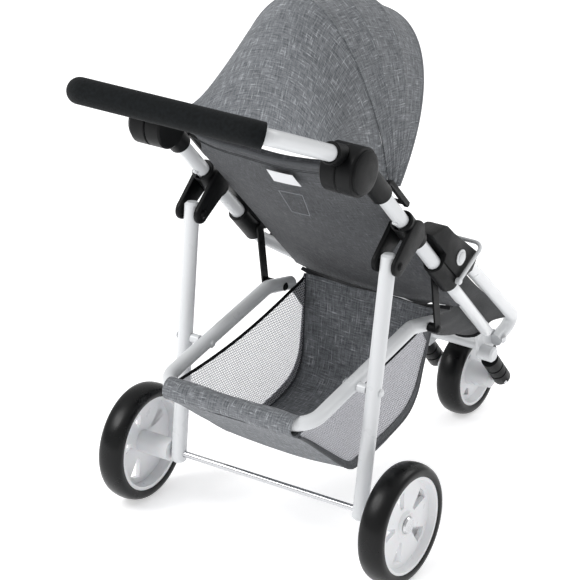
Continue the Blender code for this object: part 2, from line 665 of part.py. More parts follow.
# ---- basket tube ---------------------------------------------------------------------------
def basket_frame(looks):
    route = [place(BASKET_TIP, -BASKET_TUBE_SPREAD), place(BASKET_KNEE, -BASKET_TUBE_SPREAD),
             place(BASKET_REAR, -BASKET_TUBE_SPREAD), place(BASKET_REAR, BASKET_TUBE_SPREAD),
             place(BASKET_KNEE, BASKET_TUBE_SPREAD), place(BASKET_TIP, BASKET_TUBE_SPREAD)]
    body = as_mesh(pipe("basket_tube", rounded(route, BASKET_BEND), BASKET_TUBE_RADIUS,
                        looks["paint"]))
    for side, word in SIDES:
        for spot in (LEG_PIVOT, BASKET_PIVOT):
            cut_round(body, *across(spot, side * 0.08, side * 0.13), PIN_RADIUS + GAP, PIN_STEPS)
        inner = STRAP_FACE - STRAP_THICKNESS
        shoulder_rivet(f"strap_rivet_{word}", BASKET_PIVOT, inner - GAP, STRAP_FACE + GAP, side,
                       looks["steel"])
        body_strap = plate(f"basket_strap_{word}",
                           round_ended(on_main(STRAP_AT), BASKET_PIVOT, STRAP_WIDTH / 2),
                           side * inner, side * STRAP_FACE, looks["steel"])
        cut_round(body_strap, *across(BASKET_PIVOT, side * 0.10, side * 0.15),
                  PIN_RADIUS + GAP, PIN_STEPS)


# ---- front end -----------------------------------------------------------------------------
def front_end(looks):
    """A welded crown: crossbar, two gusset plates and their round bosses."""
    crown = rod("front_crown", *across(CROSSBAR, -GUSSET_FACE - 0.001, GUSSET_FACE + 0.001),
                CROSSBAR_RADIUS, looks["paint"])
    outline = [(0.424, 0.150), (0.430, 0.126), (0.434, 0.106), (0.440, 0.0985), (0.452, 0.100),
               (0.478, 0.110), (0.482, 0.121), (0.474, 0.132), (0.458, 0.136), (0.444, 0.152),
               (0.434, 0.157)]
    for side, word in SIDES:
        inner, outer = side * GUSSET_FACE, side * (GUSSET_FACE + GUSSET_THICKNESS)
        combine(crown, plate(f"front_gusset_{word}", outline, inner, outer, looks["paint"],
                             0.0012), "UNION")
        boss_start = side * (GUSSET_FACE + 0.001)
        combine(crown, rod(f"front_boss_{word}", *across(BOSS, boss_start, side * BOSS_OUT),
                           BOSS_RADIUS, looks["paint"], chamfer=0.0025), "UNION")
    for side, word in SIDES:
        foot_a, foot_b = place(FOOT_START, side * FOOT_SPREAD), place(FOOT_END, side * FOOT_SPREAD)
        cut_round(crown, foot_a, foot_b, FOOT_RADIUS + GAP)
        cut_round(crown, *across(RAIL_FOOT, side * 0.02, side * 0.07), PIN_RADIUS + GAP, PIN_STEPS)
        corner = place(RAIL_CORNER, side * RAIL_CORNER_SPREAD)
        foot = place(RAIL_FOOT, side * RAIL_CORNER_SPREAD)
        down = (foot - corner).normalized()
        cut_round(crown, corner, foot + down * (RAIL_TAIL + GAP), RAIL_RADIUS + GAP)
        pin(f"rail_bolt_{word}", RAIL_FOOT, GUSSET_FACE - 0.0008,
            RAIL_CORNER_SPREAD + RAIL_RADIUS + 0.0008, side, looks["steel"], head=0.0065)
        feet(side, word, foot_a, foot_b, looks)


def feet(side, word, start, end, looks):
    """Ringed sockets that hold the front axle."""
    length = (end - start).length + FOOT_RADIUS * 0.6
    r, groove = FOOT_RADIUS, FOOT_RADIUS - 0.0012
    profile = [(0, 0.0005), (r, 0.0005), (r, 0.0180), (groove, 0.0185), (groove, 0.0205),
               (r, 0.0210), (r, 0.0340), (groove, 0.0345), (groove, 0.0365), (r, 0.0370),
               (r, length - 0.006), (r * 0.75, length - 0.0015), (0, length)]
    body = turned(f"front_foot_{word}", profile, start, end, looks["plastic"])
    cut_round(body, *across(FRONT_AXLE, side * 0.03, side * 0.07), FRONT_AXLE_RADIUS + GAP)


# ---- handle --------------------------------------------------------------------------------
def handle_corner(side):
    return place(HANDLE_END, side * HANDLE_WIDTH / 2)


def handle(looks):
    inside = (HANDLE_LIP[0] + SOCKET_DEPTH * cos(HANDLE_SLOPE),
              HANDLE_LIP[1] - SOCKET_DEPTH * sin(HANDLE_SLOPE))
    half = HANDLE_WIDTH / 2
    route = [place(inside, -half), handle_corner(RIGHT), handle_corner(LEFT), place(inside, half)]
    path = rounded(route, HANDLE_BEND, BEND_STEPS)
    pipe("handle_bar", path, HANDLE_RADIUS, looks["paint"])
    handle_grip(path, looks)
    for side, word in SIDES:
        hub = across(HINGE, side * (HINGE_FACE - HINGE_HUB_WIDTH), side * HINGE_FACE)
        body = rod(f"handle_hub_{word}", *hub, HINGE_RADIUS, looks["plastic"], DISC_STEPS,
                   place(HINGE, side * HINGE_FACE), 0.002)
        low = between(HANDLE_LIP, HANDLE_END, -0.29)
        socket = rod(f"handle_socket_{word}", place(low, side * half),
                     place(HANDLE_LIP, side * half), SLEEVE_RADIUS, looks["plastic"],
                     chamfer=0.0015)
        combine(body, socket, "UNION")
        clear = rod(f"handle_clear_{word}",
                    *across(HINGE, side * (HINGE_FACE + 0.0001), side * (HINGE_FACE + 0.04)),
                    HINGE_RADIUS + 0.0015, looks["plastic"], 32, chamfer=0.0)
        combine(body, clear, "DIFFERENCE")
        mouth = place(between(HANDLE_LIP, HANDLE_END, 0.1), side * half)
        bottom = place(between(HANDLE_LIP, inside, 1.02), side * half)
        cut_round(body, bottom, mouth, HANDLE_RADIUS + GAP)
        cut_round(body, *across(HINGE, side * (HINGE_FACE - HINGE_HUB_WIDTH + 0.0035),
                                side * (HINGE_FACE + 0.01)), HINGE_PIN_RADIUS + GAP, DISC_STEPS)


def handle_grip(path, looks):
    """Foam on the crossbar, from half-way round one bend to half-way round the other."""
    first = 1 + BEND_STEPS // 2
    covered = path[first:len(path) - first]
    body = as_mesh(pipe("handle_grip", covered, GRIP_RADIUS, looks["foam"], 3))
    cutter = as_mesh(pipe("handle_grip_bore", path, HANDLE_RADIUS + GAP, looks["foam"]))
    combine(body, cutter, "DIFFERENCE")


# ---- bumper bar ----------------------------------------------------------------------------
def bumper_bar(looks):
    """A wire whose two ends turn inwards and pivot in the side joints."""
    far = (BAR_PIVOT[0] + BAR_REACH[0], BAR_PIVOT[1] + BAR_REACH[1])
    half = BAR_SPREAD
    route = [place(BAR_PIVOT, -half), place(far, -half), place(far, half), place(BAR_PIVOT, half)]
    body = as_mesh(pipe("bumper_bar", rounded(route, BAR_BEND), BAR_RADIUS, looks["paint"], 1))
    for side, word in SIDES:
        start = side * (MAIN_X + LOWER_RADIUS + 0.0008)
        flange = JOINT_RADIUS - LOWER_RADIUS - 0.0002
        end = BAR_SPREAD + BAR_RADIUS + 0.0005 - abs(start)
        stud = turned(f"bumper_stud_{word}",
                      [(0, 0), (BAR_PIN_RADIUS, 0), (BAR_PIN_RADIUS, flange), (0.0036, flange),
                       (0.0042, flange + 0.001), (0.0042, end - 0.0012), (0.003, end), (0, end)],
                      *across(BAR_PIVOT, start, start + side * 0.02), looks["paint"])
        combine(body, stud, "UNION")


# ---- soft parts ----------------------------------------------------------------------------
def add_sheet(work, rows, thickness_rows):
    """A closed solid between two grids of points, one grid on each face."""
    grids = [[[work.verts.new(p) for p in row] for row in grid]
             for grid in (rows, thickness_rows)]
    count, width = len(rows), len(rows[0])
    for grid, flip in zip(grids, (False, True)):
        for i in range(count - 1):
            for j in range(width - 1):
                quad = [grid[i][j], grid[i + 1][j], grid[i + 1][j + 1], grid[i][j + 1]]
                work.faces.new(quad[::-1] if flip else quad)
    near, far = grids
    edge = ([(i, 0) for i in range(count)] + [(count - 1, j) for j in range(1, width)]
            + [(i, width - 1) for i in range(count - 2, -1, -1)]
            + [(0, j) for j in range(width - 2, 0, -1)])
    for (i, j), (k, m) in zip(edge, edge[1:] + edge[:1]):
        work.faces.new([near[i][j], near[k][m], far[k][m], far[i][j]])


def seat_back(looks):
    """The sheet that the doll lies against, hung between the main tubes."""
    yoke = LEG_TOP_SPREAD - LEG_RADIUS - 0.001 - YOKE_THICKNESS
    hub = HINGE_FACE - HINGE_HUB_WIDTH
    rows = ([], [])
    for step in range(8):
        along = BACK_FROM + (BACK_TO - BACK_FROM) * step / 7
        narrow = (hub if step < 2 else yoke) - SIDE_CLEAR
        for grid, over in zip(rows, (0.0, -BACK_THICKNESS)):
            row = []
            for part in range(7):
                across_share = part / 3 - 1
                sag = BACK_SAG * (1 - across_share ** 2)
                row.append(place(on_main(along, over + 0.004 - sag), across_share * narrow))
            grid.append(row)
    work = bmesh.new()
    add_sheet(work, *rows)
    keep("seat_back", work, looks["fabric"])


def seat_base(looks):
    """The sheet under the doll's legs, between the lower tubes."""
    start = (0.222, 0.252)
    end = (0.424, 0.151)
    rows = ([], [])
    for step in range(6):
        share = step / 5
        ahead, up = between(start, end, share)
        half = 0.109 + (0.0385 - 0.109) * share
        for grid, drop in zip(rows, (0.0, SEAT_THICKNESS)):
            row = []
            for part in range(5):
                across_share = part / 2 - 1
                sag = (0.018 - 0.010 * share) * (1 - across_share ** 2)
                row.append(place((ahead, up - drop - sag), across_share * half))
            grid.append(row)
    work = bmesh.new()
    add_sheet(work, *rows)
    keep("seat_base", work, looks["fabric"])


def side_panels(looks):
    """The fabric between the upper and the lower front tube on each side."""
    for side, word in SIDES:
        top_start, top_end = rail_start(side), place(RAIL_CORNER, side * RAIL_CORNER_SPREAD)
        low_start, low_end = lower_line(side)
        slant = (low_end - low_start).normalized()
        rows = ([], [])
        for step in range(5):
            share = 0.16 + 0.68 * step / 4
            top = top_start.lerp(top_end, share)
            low = low_start.lerp(low_end, share)
            down = (low - top).normalized()
            square = down.cross(slant).length
            first = top + down * (RAIL_RADIUS + SIDE_CLEAR) / square
            last = low - down * (LOWER_RADIUS + SIDE_CLEAR) / square
            for grid, x in zip(rows, (0.0015, -0.0015)):
                grid.append([first + Vector((x, 0, 0)), last + Vector((x, 0, 0))])
        work = bmesh.new()
        add_sheet(work, *rows)
        keep(f"side_panel_{word}", work, looks["fabric"])


def basket(looks):
    """A cloth bag under the basket tube, open at the top."""
    work = bmesh.new()
    count = len(BASKET_OUTLINE)

    def loop(inset, half_top, half_floor):
        ring_points = []
        for side in (-1, 1):
            row = []
            for index, (ahead, up) in enumerate(BASKET_OUTLINE):
                top = index in (0, count - 1)
                half = half_top if top else half_floor
                shift_a = inset if index == 0 else -inset if index == count - 1 else 0
                lift = 0 if top else inset
                row.append(work.verts.new(place((ahead + shift_a, up + lift), side * half)))
            ring_points.append(row)
        return ring_points

    outside = loop(0.0, BASKET_TOP_HALF, BASKET_FLOOR_HALF)
    inside = loop(BASKET_WALL, BASKET_TOP_HALF - BASKET_WALL, BASKET_FLOOR_HALF - BASKET_WALL)
    for shell in (outside, inside):
        for row in shell:
            work.faces.new(row)
        for index in range(count - 1):
            work.faces.new([shell[0][index], shell[0][index + 1], shell[1][index + 1],
                            shell[1][index]])
    rim = [0, count - 1]
    outer = [outside[0][rim[0]], outside[1][rim[0]], outside[1][rim[1]], outside[0][rim[1]]]
    inner = [inside[0][rim[0]], inside[1][rim[0]], inside[1][rim[1]], inside[0][rim[1]]]
    for index in range(4):
        following = (index + 1) % 4
        work.faces.new([outer[index], outer[following], inner[following], inner[index]])
    keep("basket", work, looks["fabric"])


def hood_point(angle, share, radius_drop=0.0):
    """A point of the hood: `share` goes from 0 to 1 over the arch, from right to left."""
    turn = pi * share
    x = -(HOOD_HALF_WIDTH - radius_drop) * cos(turn)
    reach = (HOOD_RADIUS - radius_drop) * sin(turn)
    side_point = (HOOD_PIVOT[0] + reach * cos(radians(angle)),
                  HOOD_PIVOT[1] + reach * sin(radians(angle)))
    return place(side_point, x)


def hood_section(name, first, last, drop, look):
    """A strip of the dome between two bow angles, with its two ends left off the pivots."""
    shares = [0.10 + 0.80 * step / ARCH_STEPS for step in range(ARCH_STEPS + 1)]
    angles = [first + (last - first) * step / 3 for step in range(4)]
    rows = [[[hood_point(angle, share, drop + skin) for share in shares] for angle in angles]
            for skin in (0.0, HOOD_SKIN)]
    work = bmesh.new()
    add_sheet(work, *rows)
    return keep(name, work, look, place(HOOD_PIVOT))


def bow(name, angle, drop, look):
    """A steel hoop with an eye round the hood's stud at each end."""
    first = asin(BOW_EYE_RADIUS * 0.7 / HOOD_RADIUS) / pi
    shares = [first + (1 - 2 * first) * step / BOW_STEPS for step in range(BOW_STEPS + 1)]
    body = as_mesh(pipe(name, [hood_point(angle, share, drop) for share in shares],
                        BOW_RADIUS, look, 1))
    reach = HOOD_HALF_WIDTH - drop
    half = BOW_EYE_WIDTH / 2
    for side, word in SIDES:
        eye = ring(f"{name}_eye_{word}",
                   *across(HOOD_PIVOT, side * (reach - half), side * (reach + half)),
                   HOOD_STUD_RADIUS + GAP, BOW_EYE_RADIUS, look, 12)
        combine(body, eye, "UNION")


def hood(looks):
    rear, fixed, middle, front = HOOD_ANGLES
    hood_section("hood_rear", fixed, rear, 0.0, looks["hood"])
    hood_section("hood_middle", middle, fixed + HOOD_OVERLAP, HOOD_STEP, looks["hood"])
    hood_section("hood_front", front, middle + HOOD_OVERLAP, 2 * HOOD_STEP, looks["hood"])
    bow("hood_bow_rear", rear - 2, BOW_DROPS[0], looks["steel"])
    bow("hood_bow_middle", middle + 1, BOW_DROPS[1], looks["steel"])
    bow("hood_bow_front", front + 1, BOW_DROPS[2], looks["steel"])
    back_panel(looks)


def back_panel(looks):
    """The upright cloth from the rear bow down to the top of the backrest."""
    rear = HOOD_ANGLES[0]
    rows = ([], [])
    for grid, skin in zip(rows, (0.0, HOOD_SKIN)):
        for step in range(4):
            share = step / 3
            row = []
            for part in range(11):
                over = 0.16 + 0.68 * part / 10
                top = hood_point(rear + 1, over, 0.004 + skin)
                low = place(HOOD_BACK, HOOD_BACK_HALF * (2 * part / 10 - 1))
                low += Vector((0, -skin, 0))
                row.append(top.lerp(low, share))
            grid.append(row)
    work = bmesh.new()
    add_sheet(work, *rows)
    keep("hood_back", work, looks["hood"])


def main():
    clear_scene()
    looks = {
        "paint": material("white powder paint", "e4e6e8", 0.35),
        "plastic": material("black moulded plastic", "1d1f21", 0.5),
        "foam": material("black foam", "1f2426", 0.85),
        "rubber": material("black tyre", "222628", 0.6),
        "wheel": material("white moulded plastic", "e2e3e5", 0.4),
        "steel": material("bright steel", "c4c6c8", 0.3, 1.0),
        "fabric": material("dark grey melange cloth", "4a4b4e", 0.9),
        "hood": material("grey melange cloth", "7b7e82", 0.9),
    }
    rear_wheels(looks)
    front_wheel(looks)
    main_tubes(looks)
    lower_tubes(looks)
    rails(looks)
    side_joints(looks)
    hinge_bases(looks)
    hood_mounts(looks)
    snap_buttons(looks)
    legs(looks)
    leg_sliders(looks)
    basket_frame(looks)
    front_end(looks)
    handle(looks)
    bumper_bar(looks)
    seat_back(looks)
    seat_base(looks)
    side_panels(looks)
    basket(looks)
    hood(looks)


main()
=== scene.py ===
from math import asin, atan2, cos, pi, radians, sin, sqrt, tan

import bmesh
import bpy
from mathutils import Matrix, Vector, noise
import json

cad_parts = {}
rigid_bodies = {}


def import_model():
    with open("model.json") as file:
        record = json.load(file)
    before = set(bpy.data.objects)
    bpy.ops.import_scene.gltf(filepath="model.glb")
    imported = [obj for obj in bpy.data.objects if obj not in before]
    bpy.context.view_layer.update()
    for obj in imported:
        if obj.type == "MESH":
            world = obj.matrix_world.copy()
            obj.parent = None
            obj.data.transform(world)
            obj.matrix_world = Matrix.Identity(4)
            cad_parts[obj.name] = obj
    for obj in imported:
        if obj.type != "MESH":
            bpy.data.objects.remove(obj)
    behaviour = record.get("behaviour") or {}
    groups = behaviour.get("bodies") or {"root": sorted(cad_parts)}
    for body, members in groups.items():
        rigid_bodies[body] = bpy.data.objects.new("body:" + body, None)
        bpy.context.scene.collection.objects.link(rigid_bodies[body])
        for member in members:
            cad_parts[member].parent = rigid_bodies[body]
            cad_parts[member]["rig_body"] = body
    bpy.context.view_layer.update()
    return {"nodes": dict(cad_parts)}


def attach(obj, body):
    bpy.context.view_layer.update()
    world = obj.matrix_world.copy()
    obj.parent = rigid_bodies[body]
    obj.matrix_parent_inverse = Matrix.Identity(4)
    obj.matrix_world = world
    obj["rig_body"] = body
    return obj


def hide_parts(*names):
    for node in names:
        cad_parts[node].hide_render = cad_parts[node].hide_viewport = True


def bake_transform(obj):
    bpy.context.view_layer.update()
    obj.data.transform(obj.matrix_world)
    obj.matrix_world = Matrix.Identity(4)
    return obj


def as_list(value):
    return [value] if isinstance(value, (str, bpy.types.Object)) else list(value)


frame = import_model()

# ---- how finely round things are cut into flats -------------------------------------------
TYRE_STEPS, RIM_STEPS, DISC_STEPS, ROD_STEPS, PIN_STEPS = 96, 96, 64, 32, 16
BOW_STEPS = 40

# ---- driving dimensions -------------------------------------------------------------------
GAP = 0.0003                # between faces that touch
RUN = 0.0006                # round a shaft or a slide that moves

WHEELBASE = 0.480
REAR_TRACK = 0.377          # between the middles of the rear tyres
REAR_WHEEL_RADIUS = 0.075
FRONT_WHEEL_RADIUS = 0.059
TYRE_WIDTH = 0.034
TYRE_DEPTH = 0.0145
RIM_WALL = 0.0045
WEB_THICKNESS = 0.006
HUB_RADIUS = 0.014
REAR_AXLE_RADIUS = 0.004
FRONT_AXLE_RADIUS = 0.003
WHEEL_WINDOWS = 5

FRAME_WIDTH = 0.281         # between the middles of the two main tubes
TUBE_RADIUS = 0.009
MAIN_HEIGHT = 0.474         # the main tube's axis over the rear axle
MAIN_SLOPE = radians(43.6)
LEG_RADIUS = 0.0095
LEG_TOP = (0.023, 0.384)    # pivot of leg and slider
LEG_TOP_SPREAD = 0.139      # sideways from the middle
LEG_FOOT_SPREAD = 0.1325
LEG_STUB = 0.012            # leg past its end holes
SLIDER_AT = 0.087           # along the main tube
SLIDER_LENGTH = 0.050
SLIDER_RADIUS = 0.0142
KEYWAY_DEPTH = 0.0036       # under the tube, so the slider passes the snap button
KEYWAY_HALF = 0.0042
SNAP_AT = 0.051             # along the main tube
SNAP_RADIUS = 0.0034
SNAP_PROUD = 0.0026
SNAP_SUNK = 0.003
SNAP_STROKE = 0.0024
YOKE_THICKNESS = 0.006
YOKE_ROUND = 0.0125         # its end round the leg's pin
YOKE_SHOULDER = 0.0175      # its end round the main tube
PIN_RADIUS = 0.0025
HEAD_RADIUS = 0.0055
HEAD_HEIGHT = 0.0022

HINGE = (-0.062, 0.521)     # axis of the tilting handle
HINGE_RADIUS = 0.029
HINGE_FACE = 0.1312         # sideways place of the face between the two hinge halves
HINGE_BASE_WIDTH = 0.0215
HINGE_HUB_WIDTH = 0.0215
HINGE_COVER = 0.0045
HINGE_PIN_RADIUS = 0.004
SLEEVE_RADIUS = 0.0135
SLEEVE_START, SLEEVE_END = -0.074, -0.003       # along the main tube
TUBE_START = -0.0455        # main tube, inside the sleeve
HANDLE_WIDTH = 0.257        # between the middles of the two arms
HANDLE_RADIUS = 0.010
HANDLE_SLOPE = radians(22)
HANDLE_LIP = (-0.0985, 0.549)
HANDLE_LENGTH = 0.141       # from the socket's lip to the crossbar's middle
HANDLE_BEND = 0.020
SOCKET_DEPTH = 0.0145
GRIP_RADIUS = 0.0155
BEND_STEPS = 12              # of the handle's two bends; the foam ends half-way round each

JOINT_FROM, JOINT_TO = 0.172, 0.226     # collar along the main tube
JOINT_RADIUS = 0.0128
TUBES_MEET = 0.206          # main and lower tube, inside the collar
HOUSING_WIDTH = 0.028
HOUSING_OUTLINE = ((0.119, 0.0135), (0.139, 0.036), (0.146, 0.0395), (0.166, 0.041),
                   (0.234, 0.0515), (0.243, 0.048), (0.245, 0.029), (0.227, 0.006),
                   (0.172, 0.004), (0.168, 0.0125))       # along the main tube, and over it
RAIL_START = (0.218, 0.0353)            # the same, of the upper front tube's end
RAIL_RADIUS = 0.009
RAIL_CORNER = (0.515, 0.137)
RAIL_CORNER_SPREAD = 0.047
RAIL_BEND = 0.013
RAIL_FOOT = (0.472, 0.1225)
RAIL_TAIL = 0.007           # rail past the bolt
LOWER_RADIUS = 0.008
LOWER_END = (0.434, 0.145)
BUTTON_RADIUS = 0.0085
BUTTON_PLACE = (0.203, 0.0265)          # along and over the main tube

BAR_RADIUS = 0.0025         # bumper bar
BAR_PLACE = (0.2186, 0.0022)            # its pivot, along and over the main tube
BAR_REACH = (0.0546, 0.0315)
BAR_SPREAD = 0.1575
BAR_PIN_RADIUS = 0.0015
BAR_BEND = 0.012

BASKET_TUBE_RADIUS = 0.009
BASKET_TUBE_SPREAD = 0.105
BASKET_REAR = (-0.084, 0.203)
BASKET_KNEE = (0.142, 0.257)
BASKET_TIP = (0.196, 0.247)
BASKET_BEND = 0.030
BASKET_PIVOT = (0.170, 0.2518)
LEG_CROSSING = 0.012        # ahead, of the pivot of leg and basket tube
STRAP_THICKNESS = 0.0025
STRAP_AT = 0.212            # along the main tube
STRAP_WIDTH = 0.012
SPACER_RADIUS = 0.006

CROSSBAR = (0.446, 0.117)
CROSSBAR_RADIUS = 0.0075
GUSSET_THICKNESS = 0.005
GUSSET_FACE = 0.0365        # inner face of the gusset
GUSSET_OUTLINE = ((0.424, 0.150), (0.430, 0.126), (0.434, 0.106), (0.440, 0.0985),
                  (0.452, 0.100), (0.478, 0.110), (0.482, 0.121), (0.474, 0.132),
                  (0.458, 0.136), (0.444, 0.152), (0.434, 0.157))
BOSS = (0.442, 0.110)
BOSS_RADIUS = 0.0105
BOSS_OUT = 0.0605
FOOT_SPREAD = 0.0505
FOOT_START = (0.4475, 0.1005)
FOOT_END = (0.4845, 0.0625)
FOOT_RADIUS = 0.0118

HOOD_PLACE = (0.055, 0.0195)            # its pivot, along and over the main tube
HOOD_ARM_HALF = 0.0035      # half height of the arm that carries the pivot
HOOD_ARM_THICKNESS = 0.006
HOOD_HALF_WIDTH = 0.120
HOOD_RADIUS = 0.230
HOOD_SKIN = 0.003
HOOD_STEP = 0.005           # each section nests this far inside the one behind
HOOD_ANGLES = (97, 83, 68, 52)          # rear, fixed, middle and front bow, degrees from ahead
BOW_RADIUS = 0.0022
BOW_SPACING = 0.006         # between neighbouring bows, so that they fold past each other
BOW_EYE_RADIUS = 0.0065
BOW_EYE_WIDTH = 0.003
HOOD_STUD_RADIUS = 0.0026

BACK_FROM, BACK_TO = -0.052, 0.288      # backrest along the main tube
BACK_SAG = 0.010
BASKET_TOP_HALF, BASKET_FLOOR_HALF = 0.092, 0.084

# ---- places worked out from them -----------------------------------------------------------
HANDLE_END = (HANDLE_LIP[0] - HANDLE_LENGTH * cos(HANDLE_SLOPE),
              HANDLE_LIP[1] + HANDLE_LENGTH * sin(HANDLE_SLOPE))
FRONT = WHEELBASE + FRONT_WHEEL_RADIUS
BACK = HANDLE_END[0] - GRIP_RADIUS
MIDDLE = (FRONT + BACK) / 2
RIGHT, LEFT = -1, 1
SIDES = ((RIGHT, "right"), (LEFT, "left"))
MAIN_X = FRAME_WIDTH / 2
WHEEL_X = REAR_TRACK / 2


def place(side_point, x=0.0):
    """(ahead, up) and a sideways place as a point."""
    return Vector((x, MIDDLE - side_point[0], side_point[1]))


def on_main(along, over=0.0):
    """(ahead, up) of a point along the main tube's axis, and square over it."""
    return (along * cos(MAIN_SLOPE) + over * sin(MAIN_SLOPE),
            MAIN_HEIGHT - along * sin(MAIN_SLOPE) + over * cos(MAIN_SLOPE))


def between(a, b, share):
    return tuple(p + (q - p) * share for p, q in zip(a, b))


def basket_tube_up(ahead):
    """Height of the straight run of the basket tube."""
    share = (ahead - BASKET_REAR[0]) / (BASKET_KNEE[0] - BASKET_REAR[0])
    return BASKET_REAR[1] + share * (BASKET_KNEE[1] - BASKET_REAR[1])


LEG_PIVOT = (LEG_CROSSING, basket_tube_up(LEG_CROSSING))
REAR_AXLE = (0.0, REAR_WHEEL_RADIUS)
FRONT_AXLE = (WHEELBASE, FRONT_WHEEL_RADIUS)
BAR_PIVOT = on_main(*BAR_PLACE)
HOOD_PIVOT = on_main(*HOOD_PLACE)
BOW_DROPS = tuple(HOOD_STEP * 2 + HOOD_SKIN + BOW_RADIUS + 0.0008 + BOW_SPACING * index
                  for index in range(3))
HOOD_STUD_END = HOOD_HALF_WIDTH - BOW_DROPS[-1] - BOW_EYE_WIDTH
LOWER_END_SPREAD = GUSSET_FACE + GUSSET_THICKNESS + GAP + LOWER_RADIUS
STRAP_FACE = MAIN_X - JOINT_RADIUS - GAP


# ---- materials -----------------------------------------------------------------------------
def linear(value):
    return value / 12.92 if value <= 0.04045 else ((value + 0.055) / 1.055) ** 2.4


def shade(hex_colour):
    return (*(linear(int(hex_colour[i:i + 2], 16) / 255) for i in (0, 2, 4)), 1)


def add(material, kind, inputs=(), **settings):
    """A node with its settings, and its inputs set to values or linked to other nodes."""
    tree = material.node_tree
    made = tree.nodes.new("ShaderNode" + kind)
    for word, value in settings.items():
        setattr(made, word, value)
    for key, value in dict(inputs).items():
        if isinstance(value, bpy.types.NodeSocket):
            tree.links.new(value, made.inputs[key])
        else:
            made.inputs[key].default_value = value
    return made


def calc(material, operation, a, b=0.0, clamp=False):
    return add(material, "Math", {0: a, 1: b}, operation=operation, use_clamp=clamp).outputs[0]


def blended(material, share, low, high, blend="MIX"):
    made = add(material, "Mix", {0: share, 6: low, 7: high}, data_type="RGBA",
               blend_type=blend)
    return made.outputs[2]


def remap(material, value, low, high, new_low=0.0, new_high=1.0):
    return add(material, "MapRange", {0: value, 1: low, 2: high, 3: new_low, 4: new_high},
               clamp=True).outputs[0]


def millimetres(material, source="Object", stretch=(1, 1, 1)):
    """The piece's own place or UV in millimetres, squeezed along each axis."""
    place_node = add(material, "TexCoord").outputs[source]
    scale = add(material, "VectorMath", {0: place_node, 1: [1000 * s for s in stretch]},
                operation="MULTIPLY")
    return scale.outputs[0]


def grain(material, vector, scale, detail=2.0, rough=0.5):
    return add(material, "TexNoise", {"Vector": vector, "Scale": scale, "Detail": detail,
                                      "Roughness": rough}).outputs[0]


def plain(name, hex_colour, roughness, **inputs):
    """A material with its Principled shader's own sockets set."""
    made = bpy.data.materials.new(name)
    made.use_nodes = True
    shader = made.node_tree.nodes["Principled BSDF"]
    shader.inputs["Base Color"].default_value = shade(hex_colour)
    shader.inputs["Roughness"].default_value = roughness
    for word, value in inputs.items():
        shader.inputs[word].default_value = value
    return made


def shader_of(material):
    return material.node_tree.nodes["Principled BSDF"]


def feed(material, socket, value):
    material.node_tree.links.new(value, shader_of(material).inputs[socket])


def bumped(material, height, strength, distance):
    feed(material, "Normal", add(material, "Bump", {"Height": height, "Strength": strength,
                                                    "Distance": distance}).outputs[0])


def powder_coat():
    """White polyester powder coat on steel tube: satin, with a faint orange peel."""
    made = plain("white_powder_coat", "d7d9db", 0.3, **{"Coat Weight": 0.25,
                                                        "Coat Roughness": 0.12})
    where = millimetres(made)
    bumped(made, grain(made, where, 0.55, 1.0), 0.12, 0.0004)
    feed(made, "Roughness", remap(made, grain(made, where, 0.02, 3.0), 0.3, 0.7, 0.26, 0.36))
    return made


def moulded_black():
    """Black injection-moulded polypropylene with a fine spark-eroded grain."""
    made = plain("black_polypropylene", "0b0c0d", 0.42, **{"Specular IOR Level": 0.16})
    where = millimetres(made)
    bumped(made, grain(made, where, 2.2, 2.0), 0.25, 0.0003)
    feed(made, "Roughness", remap(made, grain(made, where, 0.06, 3.0), 0.3, 0.7, 0.36, 0.5))
    return made


def moulded_white():
    """White injection-moulded plastic, a little glossy."""
    made = plain("white_rim_plastic", "dfe0e2", 0.32, **{"Subsurface Weight": 0.08,
                                                         "Subsurface Scale": 0.002})
    where = millimetres(made)
    bumped(made, grain(made, where, 0.9, 1.0), 0.08, 0.0003)
    feed(made, "Roughness", remap(made, grain(made, where, 0.05, 3.0), 0.3, 0.7, 0.26, 0.4))
    return made


def eva_foam():
    """Closed-cell EVA foam sleeve: matt, with small pores."""
    made = plain("black_eva_foam", "101214", 0.8, **{"Specular IOR Level": 0.1,
                                                     "Sheen Weight": 0.04,
                                                     "Sheen Roughness": 0.5})
    where = millimetres(made)
    pores = add(made, "TexVoronoi", {"Vector": where, "Scale": 1.6}).outputs[0]
    bumped(made, remap(made, pores, 0.0, 0.45), 0.35, 0.0003)
    tone = blended(made, remap(made, grain(made, where, 0.25, 3.0), 0.3, 0.7),
                   shade("0d0f10"), shade("16191b"))
    feed(made, "Base Color", tone)
    return made


def tyre_rubber():
    """Glossy black EVA tyre with a thin moulding skin."""
    made = plain("black_tyre", "08090a", 0.26, **{"Specular IOR Level": 0.22,
                                                  "Coat Weight": 0.06,
                                                  "Coat Roughness": 0.16})
    where = millimetres(made)
    bumped(made, grain(made, where, 0.7, 2.0), 0.12, 0.0004)
    feed(made, "Roughness", remap(made, grain(made, where, 0.05, 3.0), 0.3, 0.7, 0.24, 0.4))
    return made


def zinc_steel():
    """Bright zinc-plated steel."""
    made = plain("zinc_plated_steel", "c9cacc", 0.24, Metallic=1.0)
    where = millimetres(made)
    feed(made, "Roughness", remap(made, grain(made, where, 0.4, 3.0), 0.3, 0.7, 0.18, 0.34))
    return made


